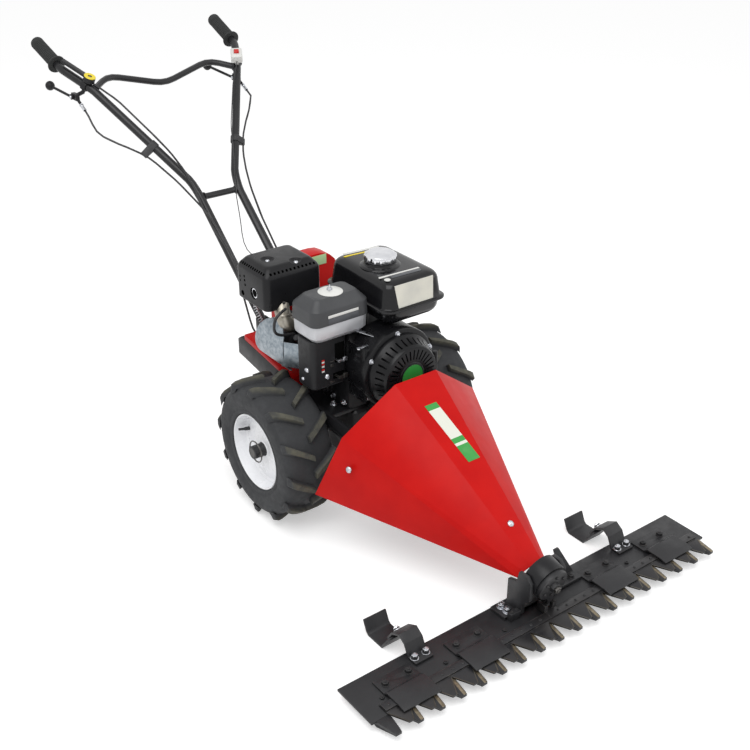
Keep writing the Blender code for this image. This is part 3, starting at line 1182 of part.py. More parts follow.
def build_controls():
    """Make the lever brackets, the clutch levers, the throttle and the stop switch."""
    for label, sign in SIDES:
        ahead, up = tube_frame(sign)
        pivot = LEVER_PIVOTS[sign]
        middle = tube_place(sign, BRACKET_Y[sign])
        outer = TUBE_R + 0.0035
        ring = [(TUBE_R + GAP, -0.007), (outer, -0.007), (outer, 0.007), (TUBE_R + GAP, 0.007)]
        bracket = turned(ring, middle, ahead, sides=16)
        block = pivot + Vector((-0.0065 * LEVER_OUTWARD, 0, 0))
        square = block - middle
        square = (square - ahead * square.dot(ahead)).normalized()
        stem = union(rod(middle + square * (TUBE_R + 0.002), middle + square * (TUBE_R + 0.011),
                         0.005, sides=10),
                     rod(middle + square * (TUBE_R + 0.0085), block, 0.005, sides=10))
        body = box(block - Vector((0.005, 0.018, 0.008)), block + Vector((0.005, 0.010, 0.008)))
        tip = adjuster_tip(sign)
        screw = rod(block + Vector((0, -0.014, -0.004)), tip, 0.0038, sides=10)
        pin_end = pivot + Vector((0.0045 * LEVER_OUTWARD, 0, 0))
        pin = rod(block, pin_end, 0.0025, sides=10)
        bracket = union(bracket, stem, body, screw, pin)
        if sign < 0:
            bracket = union(bracket, throttle_base())
        node("control_bracket_" + label, bracket, "black_plastic")
        disc = rod(pivot + Vector((-0.0011 * LEVER_OUTWARD, 0, 0)), pin_end, 0.007, sides=14)
        knob = LEVER_KNOBS[sign]
        arm_start = (pivot + pin_end) / 2
        arm = rod(arm_start + (knob - arm_start) * 0.07, knob, 0.0034, sides=8)
        bore = rod(pivot - Vector((0.02, 0, 0)), pivot + Vector((0.02, 0, 0)), 0.0025 + SHAFT_GAP, sides=10)
        lever = cut(union(disc, arm, ball(knob, 0.012)), bore)
        node("clutch_lever_" + label, lever, "black_plastic", pivot)
    seat, ahead, up = throttle_seat()
    level = seat + up * (0.008 + GAP)
    ring = turned([(0.003 + SHAFT_GAP, 0), (DIAL_R, 0), (DIAL_R, 0.008), (DIAL_R - 0.002, 0.009),
                   (0.003 + SHAFT_GAP, 0.009)], level, up, sides=20)
    handle = seated_block(level + up * 0.004 + ahead * 0.048, ahead, up, (0.014, 0.074, 0.006))
    node("throttle_lever", union(ring, handle), "yellow_plastic", level)
    ahead, up = tube_frame(1)
    foot = tube_place(1, SWITCH_Y) + up * (TUBE_R + GAP)
    height = SWITCH_SIZE.z
    middle = foot + up * (SWITCH_LIFT + height / 2)
    case = bevelled(seated_block(middle, ahead, up, SWITCH_SIZE), 0.003)
    stand = seated_block(foot + up * 0.00225 - ahead * 0.010, ahead, up, (0.008, 0.014, 0.0045))
    case = union(case, stand)
    top = foot + up * (SWITCH_LIFT + height)
    pocket = seated_block(top - up * 0.0015, ahead, up, (BUTTON_SIZE + 2 * GAP, BUTTON_SIZE + 2 * GAP, 0.014))
    node("switch_box", cut(case, pocket), "white_plastic")
    button = seated_block(top, ahead, up, (BUTTON_SIZE, BUTTON_SIZE, 0.009))
    node("stop_button", button, "red_plastic", top)


def build_cables():
    """Make the clutch, throttle and stop cables and the belt spring."""
    spring_top = Vector((-0.110, 0.224, 0.398))
    spring_foot = Vector((-0.110, 0.193, 0.367))
    right = adjuster_tip(-1) + Vector((0, -0.0010, -0.0006))
    left = adjuster_tip(1) + Vector((0, -0.0010, -0.0006))
    lean = (spring_top - spring_foot).normalized()
    clutch_right = [right, right + Vector((0, -0.014, -0.008)),
                    (-0.228, 0.738, 0.712), (-0.200, 0.708, 0.690),
                    (-0.168, 0.686, 0.672), (-0.136, 0.652, 0.650), (-0.100, 0.600, 0.604),
                    (-0.082, 0.540, 0.566), (-0.076, 0.482, 0.540), (-0.080, 0.413, 0.508),
                    (-0.092, 0.330, 0.474), (-0.106, 0.262, 0.436), spring_top + lean * 0.012]
    clutch_left = [left, left + Vector((0.002, -0.014, -0.008)), (0.205, 0.725, 0.732), (0.186, 0.706, 0.706),
                   (0.160, 0.682, 0.684), (0.133, 0.652, 0.656), (0.102, 0.600, 0.622), (0.082, 0.545, 0.575),
                   (0.076, 0.492, 0.514), (0.075, 0.420, 0.440), (0.075, 0.340, 0.362),
                   (0.075, 0.290, 0.300), (0.075, 0.274, 0.2890), (0.075, 0.2624, 0.2890)]
    seat, ahead, up = throttle_seat()
    dial = seat + up * 0.005 - ahead * (DIAL_R + GAP + 0.0003)
    throttle = [dial, dial - ahead * 0.008, (-0.162, 0.744, 0.778), (-0.134, 0.704, 0.735),
                (-0.104, 0.660, 0.690), (-0.084, 0.615, 0.648), (-0.074, 0.560, 0.600),
                (-0.073, 0.482, 0.520), (-0.074, 0.413, 0.484), (-0.074, 0.364, 0.440),
                (-0.074, 0.332, 0.364), (-0.075, 0.300, 0.305), (-0.075, 0.276, 0.2890),
                (-0.075, 0.2624, 0.2890)]
    ahead_left, up_left = tube_frame(1)
    box_front = tube_place(1, SWITCH_Y) + up_left * (TUBE_R + GAP + 0.012)
    box_front -= ahead_left * (SWITCH_SIZE.y / 2 + 2 * GAP)
    stop = [box_front, box_front - ahead_left * 0.006, (0.166, 0.744, 0.780), (0.136, 0.704, 0.736),
            (0.104, 0.660, 0.688), (0.080, 0.612, 0.645), (0.060, 0.578, 0.608), (0.046, 0.553, 0.5765),
            (0.040, 0.5395, 0.5680), (0.034, 0.531, 0.548), (0.030, 0.512, 0.498), (0.028, 0.498, 0.440),
            (0.020, 0.450, 0.424), (0.004, 0.360, 0.450),
            (-0.010, 0.250, 0.512), (-0.014, 0.195, 0.526), (-0.017, 0.120, 0.500),
            (-0.019, 0.075, 0.448), (-0.020, 0.064, 0.4304)]
    for name, line in (("clutch_cable_right", clutch_right), ("clutch_cable_left", clutch_left),
                       ("throttle_cable", throttle)):
        curve_object(name, [smooth_route(line, 0.020)], CABLE_R, "black_plastic", 2)
    curve_object("stop_wire", [smooth_route(stop, 0.024)], WIRE_R, "black_plastic", 1)
    turns = 7
    steps = 8
    coil_r = 0.0045
    wire_r = 0.0009
    length = (spring_top - spring_foot).length
    across = lean.cross(Vector((1, 0, 0))).normalized()
    other = Vector((1, 0, 0))
    points = [Vector((-0.110, 0.180, 0.3178)), Vector((-0.110, 0.183, 0.332)), spring_foot - lean * 0.006]
    for k in range(turns * steps + 1):
        angle = 2 * math.pi * k / steps
        share = k / (turns * steps)
        taper = min(1.0, share * turns * 2 + 0.25, (1 - share) * turns * 2 + 0.25)
        points.append(spring_foot + lean * (share * length)
                      + (across * math.cos(angle) + other * math.sin(angle)) * coil_r * taper)
    points.append(spring_top + lean * 0.0117)
    gaps = [(a - b).length - 2 * wire_r for i, a in enumerate(points) for b in points[i + 5:]]
    print("tension spring least gap to itself, mm:", round(min(gaps) * 1000, 2))
    curve_object("tension_spring", [points], wire_r, "zinc", 1)


def main():
    """Build the whole machine under one root empty."""
    clear_scene()
    root = bpy.data.objects.new("root_empty", None)
    bpy.context.scene.collection.objects.link(root)
    root.location = (0, -MID_Y, 0)
    for label, sign in SIDES:
        build_tyre("tyre_" + label, sign)
        build_rim("rim_" + label, sign)
    build_axle()
    build_frame()
    build_gearbox()
    build_belt_drive()
    build_blade_drive()
    build_bar()
    build_knife()
    build_clips()
    build_skids()
    build_cone_cover()
    build_engine_block()
    build_fan_cover()
    build_fuel_system()
    build_exhaust()
    build_handle()
    build_controls()
    build_cables()
    bpy.context.view_layer.update()


main()
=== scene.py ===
"""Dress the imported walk-behind grass cutter for its studio picture.

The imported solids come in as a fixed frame. Each class below is one sub-assembly of the machine: it
holds its sizes, shapes the pieces that the solids only block out, and gives every piece its finish.
Places are written from the wheel axle and the ground, and turned into the frame's own metres.
"""
import json
import logging
import math
from dataclasses import dataclass, field
from enum import Enum
from typing import Callable, Optional, Sequence

import bpy
from mathutils import Matrix, Vector

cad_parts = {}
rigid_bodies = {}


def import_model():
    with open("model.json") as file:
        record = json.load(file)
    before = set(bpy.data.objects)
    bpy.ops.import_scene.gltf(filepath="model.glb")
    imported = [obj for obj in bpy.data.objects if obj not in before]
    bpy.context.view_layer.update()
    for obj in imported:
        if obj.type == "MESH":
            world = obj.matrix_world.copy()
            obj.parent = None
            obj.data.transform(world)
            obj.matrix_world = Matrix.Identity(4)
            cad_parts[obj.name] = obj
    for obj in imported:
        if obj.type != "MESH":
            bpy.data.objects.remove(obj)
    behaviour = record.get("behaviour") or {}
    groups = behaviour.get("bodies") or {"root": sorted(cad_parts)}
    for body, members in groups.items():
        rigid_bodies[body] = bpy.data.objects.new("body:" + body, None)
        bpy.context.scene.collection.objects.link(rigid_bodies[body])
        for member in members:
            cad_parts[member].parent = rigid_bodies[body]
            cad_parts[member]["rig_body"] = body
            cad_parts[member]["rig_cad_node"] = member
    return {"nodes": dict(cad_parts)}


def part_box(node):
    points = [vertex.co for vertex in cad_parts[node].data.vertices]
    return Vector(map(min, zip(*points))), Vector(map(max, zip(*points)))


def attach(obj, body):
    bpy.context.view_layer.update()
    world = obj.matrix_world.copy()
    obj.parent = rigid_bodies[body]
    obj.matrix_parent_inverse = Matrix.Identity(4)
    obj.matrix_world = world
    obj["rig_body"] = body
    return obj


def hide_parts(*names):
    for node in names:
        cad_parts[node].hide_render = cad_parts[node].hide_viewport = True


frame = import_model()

LOG = logging.getLogger("grass_cutter")
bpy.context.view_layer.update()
AXLE_LOW, AXLE_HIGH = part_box("axle_shaft")
AXLE_Y = (AXLE_LOW.y + AXLE_HIGH.y) / 2
AXLE_Z = (AXLE_LOW.z + AXLE_HIGH.z) / 2
Point = Sequence[float]
Thing = bpy.types.Object
Socket = bpy.types.NodeSocket


class Body(Enum):
    """The bodies of the machine that a piece can ride on."""

    CHASSIS = "chassis"
    WHEELS = "wheels"
    KNIFE = "knife"
    ROCKER = "rocker"
    RIGHT_LEVER = "right_lever"
    LEFT_LEVER = "left_lever"
    THROTTLE = "throttle"
    CHOKE = "choke"
    FUEL_VALVE = "fuel_valve"
    CAP = "cap"
    STARTER = "starter"


def at(x: float, y: float, z: float) -> Vector:
    """Return a place in the frame from its distances to the axle (y) and the ground (z)."""
    return Vector((x, y + AXLE_Y, z))


def tilt(degrees: float, axis: str = "Z") -> Matrix:
    """Return a turn about one of the frame's axes."""
    return Matrix.Rotation(math.radians(degrees), 4, axis)


def srgb(red: int, green: int, blue: int) -> tuple[float, float, float]:
    """Return a screen colour of 0 to 255 as linear light."""
    def linear(level: float) -> float:
        """Return one channel in linear light."""
        return level / 12.92 if level <= 0.04045 else ((level + 0.055) / 1.055) ** 2.4
    return tuple(linear(c / 255) for c in (red, green, blue))


class Nodes:
    """A small hand for wiring one material's nodes.

    Attributes:
        LAYERS: how strong the finer layers of a noise are.
    """

    LAYERS: float = 0.55

    def __init__(self, name: str) -> None:
        """Start an empty node material that holds one Principled shader."""
        self.material = bpy.data.materials.new(name)
        self.material.use_nodes = True
        self.tree = self.material.node_tree
        self.shader = self.tree.nodes["Principled BSDF"]
        self.place = self.add("ShaderNodeTexCoord").outputs["Object"]

    def add(self, kind: str, **values: object) -> bpy.types.Node:
        """Add a node and set its plain properties.

        Args:
            kind: Blender's name of the node type.
            values: properties of the node and their values.

        Returns:
            The new node.
        """
        node = self.tree.nodes.new(kind)
        for key, value in values.items():
            setattr(node, key, value)
        return node

    def link(self, source: Socket, target: Socket) -> None:
        """Join an output to an input."""
        self.tree.links.new(source, target)

    def noise(self, scale: float, detail: float = 3.0, stretch: Point = (1, 1, 1)) -> Socket:
        """Return the value of a noise on the object's own coordinates.

        Args:
            scale: features per metre.
            detail: how many finer layers it has.
            stretch: scale along each axis, for a brushed or drawn grain.

        Returns:
            The noise's value socket, near 0.5.
        """
        mapping = self.add("ShaderNodeMapping")
        mapping.inputs["Scale"].default_value = tuple(stretch)
        self.link(self.place, mapping.inputs["Vector"])
        node = self.add("ShaderNodeTexNoise")
        node.inputs["Scale"].default_value = scale
        node.inputs["Detail"].default_value = detail
        node.inputs["Roughness"].default_value = self.LAYERS
        self.link(mapping.outputs["Vector"], node.inputs["Vector"])
        return node.outputs["Fac"]

    def span(self, value: Socket, low: float, high: float, to_low: float, to_high: float) -> Socket:
        """Return a value moved from one range to another and held inside it."""
        node = self.add("ShaderNodeMapRange")
        for key, number in (("From Min", low), ("From Max", high), ("To Min", to_low),
                ("To Max", to_high)):
            node.inputs[key].default_value = number
        self.link(value, node.inputs["Value"])
        return node.outputs["Result"]

    def math(self, operation: str, first: object, second: object = 0.0) -> Socket:
        """Return the result of one sum on sockets or numbers."""
        node = self.add("ShaderNodeMath", operation=operation)
        for slot, item in enumerate((first, second)):
            if isinstance(item, (int, float)):
                node.inputs[slot].default_value = item
            else:
                self.link(item, node.inputs[slot])
        return node.outputs["Value"]

    def blend(self, share: Socket, first: object, second: object) -> Socket:
        """Return a colour between two colours or colour sockets."""
        node = self.add("ShaderNodeMix", data_type="RGBA")
        self.link(share, node.inputs["Factor"])
        for key, item in (("A", first), ("B", second)):
            socket = [s for s in node.inputs if s.name == key and s.type == "RGBA"][0]
            if isinstance(item, tuple):
                socket.default_value = (*item, 1.0)
            else:
                self.link(item, socket)
        return [s for s in node.outputs if s.type == "RGBA"][0]

    def bump(self, height: Socket, depth: float, under: Optional[Socket] = None) -> Socket:
        """Return a surface direction pushed by a height, in metres, over another one."""
        node = self.add("ShaderNodeBump")
        node.inputs["Distance"].default_value = depth
        self.link(height, node.inputs["Height"])
        if under is not None:
            self.link(under, node.inputs["Normal"])
        return node.outputs["Normal"]

    def edge(self, radius: float) -> Socket:
        """Return a share that is 1 on outer and inner edges and 0 on flat places."""
        soft = self.add("ShaderNodeBevel", samples=4)
        soft.inputs["Radius"].default_value = radius
        dot = self.add("ShaderNodeVectorMath", operation="DOT_PRODUCT")
        self.link(soft.outputs["Normal"], dot.inputs[0])
        self.link(self.add("ShaderNodeNewGeometry").outputs["Normal"], dot.inputs[1])
        return self.span(dot.outputs["Value"], 0.995, 0.9, 0.0, 1.0)


@dataclass(frozen=True)
class Finish:
    """One kind of surface: its colours, gloss, grain and wear.

    Attributes:
        name: the material's name.
        colour: its main colour in linear light.
        second: the colour that it drifts towards.
        rough: lowest and highest roughness.
        metallic: 1 for bare metal.
        coat: share of a clear top layer.
        drift: colour patches per metre.
        grain: surface grain per metre.
        relief: depth of the grain in metres.
        stretch: the grain's scale along each axis.
        worn: the colour of rubbed edges, or none.
        level: the reflection level of a plain surface.
    """

    name: str
    colour: tuple[float, float, float]
    second: tuple[float, float, float]
    rough: tuple[float, float] = (0.35, 0.5)
    metallic: float = 0.0
    coat: float = 0.0
    drift: float = 14.0
    grain: float = 500.0
    relief: float = 0.00004
    stretch: tuple[float, float, float] = (1.0, 1.0, 1.0)
    worn: Optional[tuple[float, float, float]] = None
    level: float = 0.5

    def colours(self, nodes: Nodes) -> Socket:
        """Return the colour socket: patches, fine mottling and rubbed edges."""
        share = nodes.span(nodes.noise(self.drift, 4.0), 0.35, 0.65, 0.0, 1.0)
        colour = nodes.blend(share, self.colour, self.second)
        fleck = nodes.span(nodes.noise(self.grain * 0.6, 2.0), 0.62, 0.74, 0.0, 0.35)
        colour = nodes.blend(fleck, colour, self.second)
        if self.worn:
            rub = nodes.math("MULTIPLY", nodes.edge(0.0012),
                    nodes.span(nodes.noise(90, 3), 0.45, 0.7, 0.05, 0.8))
            colour = nodes.blend(rub, colour, self.worn)
        return colour

    def relief_of(self, nodes: Nodes) -> Socket:
        """Return the surface direction socket: fine grain over broad unevenness."""
        broad = nodes.bump(nodes.noise(22, 2.0), self.relief * 6)
        return nodes.bump(nodes.noise(self.grain, 4.0, self.stretch), self.relief, broad)

    def make(self) -> bpy.types.Material:
        """Return this finish as a material, made once."""
        found = bpy.data.materials.get(self.name)
        if found:
            return found
        nodes = Nodes(self.name)
        shader = nodes.shader
        shader.inputs["Metallic"].default_value = self.metallic
        shader.inputs["Specular IOR Level"].default_value = self.level
        shader.inputs["Coat Weight"].default_value = self.coat
        shader.inputs["Coat Roughness"].default_value = 0.08
        nodes.link(self.colours(nodes), shader.inputs["Base Color"])
        patches = nodes.noise(self.grain * 0.12, 4.0, self.stretch)
        nodes.link(nodes.span(patches, 0.3, 0.7, *self.rough), shader.inputs["Roughness"])
        nodes.link(self.relief_of(nodes), shader.inputs["Normal"])
        return nodes.material


@dataclass(frozen=True)
class TyreFinish(Finish):
    """Tyre rubber: dusty lug tops, mould rings on the side walls."""

    tread: float = 0.1545

    def reach(self, nodes: Nodes) -> Socket:
        """Return the distance from the wheel axle in metres."""
        split = nodes.add("ShaderNodeSeparateXYZ")
        nodes.link(nodes.place, split.inputs[0])
        across = nodes.math("POWER", nodes.math("SUBTRACT", split.outputs["Y"], AXLE_Y), 2.0)
        up = nodes.math("POWER", nodes.math("SUBTRACT", split.outputs["Z"], AXLE_Z), 2.0)
        return nodes.math("SQRT", nodes.math("ADD", across, up))

    def colours(self, nodes: Nodes) -> Socket:
        """Return rubber that turns dusty towards the tops of the lugs."""
        plain = Finish.colours(self, nodes)
        top = nodes.span(self.reach(nodes), self.tread, self.tread + 0.009, 0.0, 0.75)
        dust = nodes.math("MULTIPLY", top, nodes.span(nodes.noise(60, 4), 0.35, 0.62, 0.35, 1.0))
        return nodes.blend(dust, plain, srgb(96, 94, 80))

    def relief_of(self, nodes: Nodes) -> Socket:
        """Return the rubber's grain over fine mould rings."""
        rings = nodes.math("SINE", nodes.math("MULTIPLY", self.reach(nodes), 1800.0))
        return nodes.bump(nodes.noise(self.grain, 4.0), self.relief, nodes.bump(rings, 0.00006))


@dataclass(frozen=True)
class StickerFinish(Finish):
    """A plain printed strip: bands of colour with no lettering."""

    bands: tuple[tuple[float, tuple[float, float, float]], ...] = ()
    axis: str = "Y"
    span_of: tuple[float, float] = (0.0, 1.0)

    def colours(self, nodes: Nodes) -> Socket:
        """Return the bands along one axis of the object's coordinates."""
        split = nodes.add("ShaderNodeSeparateXYZ")
        nodes.link(nodes.place, split.inputs[0])
        share = nodes.span(split.outputs[self.axis], *self.span_of, 0.0, 1.0)
        ramp = nodes.add("ShaderNodeValToRGB")
        ramp.color_ramp.interpolation = "CONSTANT"
        marks = ramp.color_ramp.elements
        marks[0].position, marks[0].color = self.bands[0][0], (*self.bands[0][1], 1.0)
        marks[1].position, marks[1].color = self.bands[1][0], (*self.bands[1][1], 1.0)
        for position, colour in self.bands[2:]:
            mark = marks.new(position)
            mark.color = (*colour, 1.0)
        nodes.link(share, ramp.inputs["Fac"])
        soil = nodes.span(nodes.noise(40, 4), 0.5, 0.8, 0.0, 0.1)
        return nodes.blend(soil, ramp.outputs["Color"], self.second)


class Look:
    """Every finish of the machine, named for where it is seen."""

    RED = Finish("cover_red", srgb(199, 24, 21), srgb(190, 20, 19), (0.28, 0.38), grain=260,
            relief=0.00003, worn=srgb(218, 56, 48), level=0.09)
    BLACK_STEEL = Finish("frame_black", srgb(30, 30, 32), srgb(25, 25, 27), (0.3, 0.44), grain=420,
            worn=srgb(72, 72, 74), level=0.25)
    BAR_BLACK = Finish("bar_black", srgb(42, 42, 44), srgb(34, 34, 36), (0.34, 0.54), grain=320,
            relief=0.00006, worn=srgb(96, 92, 88), level=0.36)
    KNIFE = Finish("knife_dark", srgb(40, 40, 43), srgb(52, 50, 50), (0.28, 0.45), metallic=0.4,
            grain=300, stretch=(0.2, 3.0, 1.0), worn=srgb(140, 136, 130))
    HANDLE = Finish("handle_black", srgb(36, 36, 38), srgb(30, 30, 32), (0.26, 0.38), grain=300,
            worn=srgb(64, 64, 66), level=0.35)
    RIM = Finish("rim_white", srgb(246, 247, 249), srgb(240, 241, 244), (0.22, 0.34), coat=0.2,
            grain=240, worn=srgb(214, 214, 216))
    TYRE = TyreFinish("tyre_rubber", srgb(56, 57, 59), srgb(48, 49, 51), (0.62, 0.82), grain=700,
            level=0.35)
    GRIP = Finish("grip_rubber", srgb(50, 51, 51), srgb(43, 44, 44), (0.55, 0.72), grain=900,
            relief=0.00005, level=0.25)
    BELT = Finish("belt_rubber", srgb(40, 40, 40), srgb(34, 34, 34), (0.6, 0.8), grain=700)
    TANK = Finish("tank_black", srgb(20, 20, 22), srgb(16, 16, 18), (0.16, 0.26), coat=0.25, grain=240,
            worn=srgb(52, 52, 56), level=0.2)
    GUARD = Finish("guard_black", srgb(24, 24, 26), srgb(28, 28, 30), (0.26, 0.4), grain=380,
            worn=srgb(70, 70, 72), level=0.22)
    CASTING = Finish("casting_black", srgb(28, 28, 30), srgb(23, 23, 25), (0.36, 0.54), grain=420,
            relief=0.00012, worn=srgb(84, 84, 86), level=0.25)
    COWL = Finish("cowl_black", srgb(20, 20, 22), srgb(17, 17, 19), (0.24, 0.36), grain=420,
            worn=srgb(58, 58, 60), level=0.22)
    CLEANER = Finish("cleaner_grey", srgb(70, 71, 73), srgb(63, 64, 66), (0.34, 0.48), grain=620,
            relief=0.00005, worn=srgb(108, 108, 110), level=0.3)
    PLASTIC = Finish("control_black", srgb(32, 32, 34), srgb(27, 27, 29), (0.36, 0.52), grain=900,
            relief=0.00005, worn=srgb(62, 62, 64), level=0.25)
    ALLOY = Finish("cast_alloy", srgb(198, 199, 203), srgb(178, 180, 184), (0.3, 0.48), metallic=0.85,
            grain=380, relief=0.0001, worn=srgb(226, 226, 228))
    ZINC = Finish("zinc_plate", srgb(206, 208, 212), srgb(184, 186, 192), (0.2, 0.36), metallic=1.0,
            drift=80, grain=420, worn=srgb(232, 232, 234))
    SHIELD = Finish("galvanised_sheet", srgb(158, 166, 172), srgb(120, 130, 138), (0.26, 0.46),
            metallic=0.9, drift=110, grain=240, relief=0.00006, worn=srgb(206, 210, 214))
    STEEL = Finish("bare_steel", srgb(168, 164, 154), srgb(140, 134, 122), (0.28, 0.48), metallic=0.9,
            drift=60, grain=420, stretch=(4.0, 0.4, 1.0), worn=srgb(210, 206, 198))
    LEDGER = Finish("finger_plate", srgb(146, 134, 112), srgb(112, 102, 84), (0.34, 0.52), metallic=0.6,
            drift=120, grain=520, stretch=(3.0, 0.5, 1.0), worn=srgb(190, 184, 168))
    CHROME = Finish("cap_chrome", srgb(226, 227, 230), srgb(212, 213, 217), (0.08, 0.18), metallic=1.0,
            drift=40, grain=300, relief=0.00001, worn=srgb(240, 240, 242))
    SPRING = Finish("spring_wire", srgb(196, 197, 200), srgb(170, 172, 176), (0.24, 0.4), metallic=1.0,
            drift=200, grain=900, relief=0.00002)
    MUFFLER = Finish("muffler_dark", srgb(52, 50, 48), srgb(40, 38, 36), (0.55, 0.75), grain=300,
            relief=0.0001, worn=srgb(90, 84, 78))
    GEARBOX = Finish("gearbox_iron", srgb(38, 38, 40), srgb(30, 30, 31), (0.48, 0.66), grain=300,
            relief=0.00018, worn=srgb(76, 74, 72))
    CABLE = Finish("cable_black", srgb(30, 30, 32), srgb(36, 36, 38), (0.34, 0.5), grain=900,
            relief=0.00003)
    YELLOW = Finish("throttle_yellow", srgb(236, 214, 40), srgb(226, 200, 30), (0.32, 0.46), grain=700,
            worn=srgb(240, 226, 110))
    WHITE = Finish("switch_white", srgb(224, 224, 220), srgb(214, 214, 210), (0.3, 0.44), grain=800,
            worn=srgb(236, 236, 234))
    BUTTON = Finish("button_red", srgb(204, 32, 26), srgb(186, 26, 22), (0.24, 0.36), grain=700,
            worn=srgb(224, 90, 80))
    PALE = Finish("patch_pale", srgb(192, 224, 168), srgb(182, 214, 158), (0.34, 0.46), grain=600,
            level=0.3)
    GREEN = Finish("badge_green", srgb(48, 150, 62), srgb(40, 134, 54), (0.28, 0.42), grain=600)
    PLATE = Finish("plate_silver", srgb(214, 212, 200), srgb(198, 197, 188), (0.26, 0.4), metallic=0.35,
            grain=420, stretch=(0.3, 4.0, 1.0), worn=srgb(232, 232, 226))
    PIN = Finish("dark_steel", srgb(92, 90, 88), srgb(70, 68, 66), (0.3, 0.46), metallic=0.8, grain=420,
            worn=srgb(150, 148, 144))
    EDGE = Finish("knife_edge", srgb(96, 92, 84), srgb(70, 66, 60), (0.3, 0.46), metallic=0.8,
            grain=520)
    LABEL = StickerFinish("label_green", srgb(70, 160, 80), srgb(214, 214, 204), (0.26, 0.38),
            level=0.3, axis="Y", span_of=(-0.56, -0.43), bands=((0.0, srgb(64, 158, 74)),
            (0.3, srgb(226, 228, 216)), (0.34, srgb(64, 158, 74)), (0.42, srgb(226, 228, 216)),
            (0.9, srgb(64, 158, 74))))
    PLUG = Finish("plug_rubber", srgb(34, 34, 36), srgb(42, 42, 44), (0.5, 0.68), grain=800)
    # Painted shade: a near-black finish laid where only shade falls, on the walls of cut slots and on a
    # disc inside the starter cover.
    VOID = Finish("deep_shade", srgb(8, 8, 8), srgb(5, 5, 5), (0.8, 0.9), grain=300, level=0.05)
    GREY = Finish("label_grey", srgb(92, 94, 98), srgb(70, 72, 76), (0.3, 0.44), grain=1400, level=0.3)
    SILVER = Finish("base_silver", srgb(196, 197, 200), srgb(182, 183, 187), (0.34, 0.48),
            metallic=0.45, grain=520, worn=srgb(216, 216, 218))
    HEAD = Finish("head_black", srgb(46, 46, 48), srgb(36, 36, 38), (0.36, 0.54), metallic=0.2,
            grain=420, relief=0.0001, worn=srgb(110, 110, 112), level=0.3)


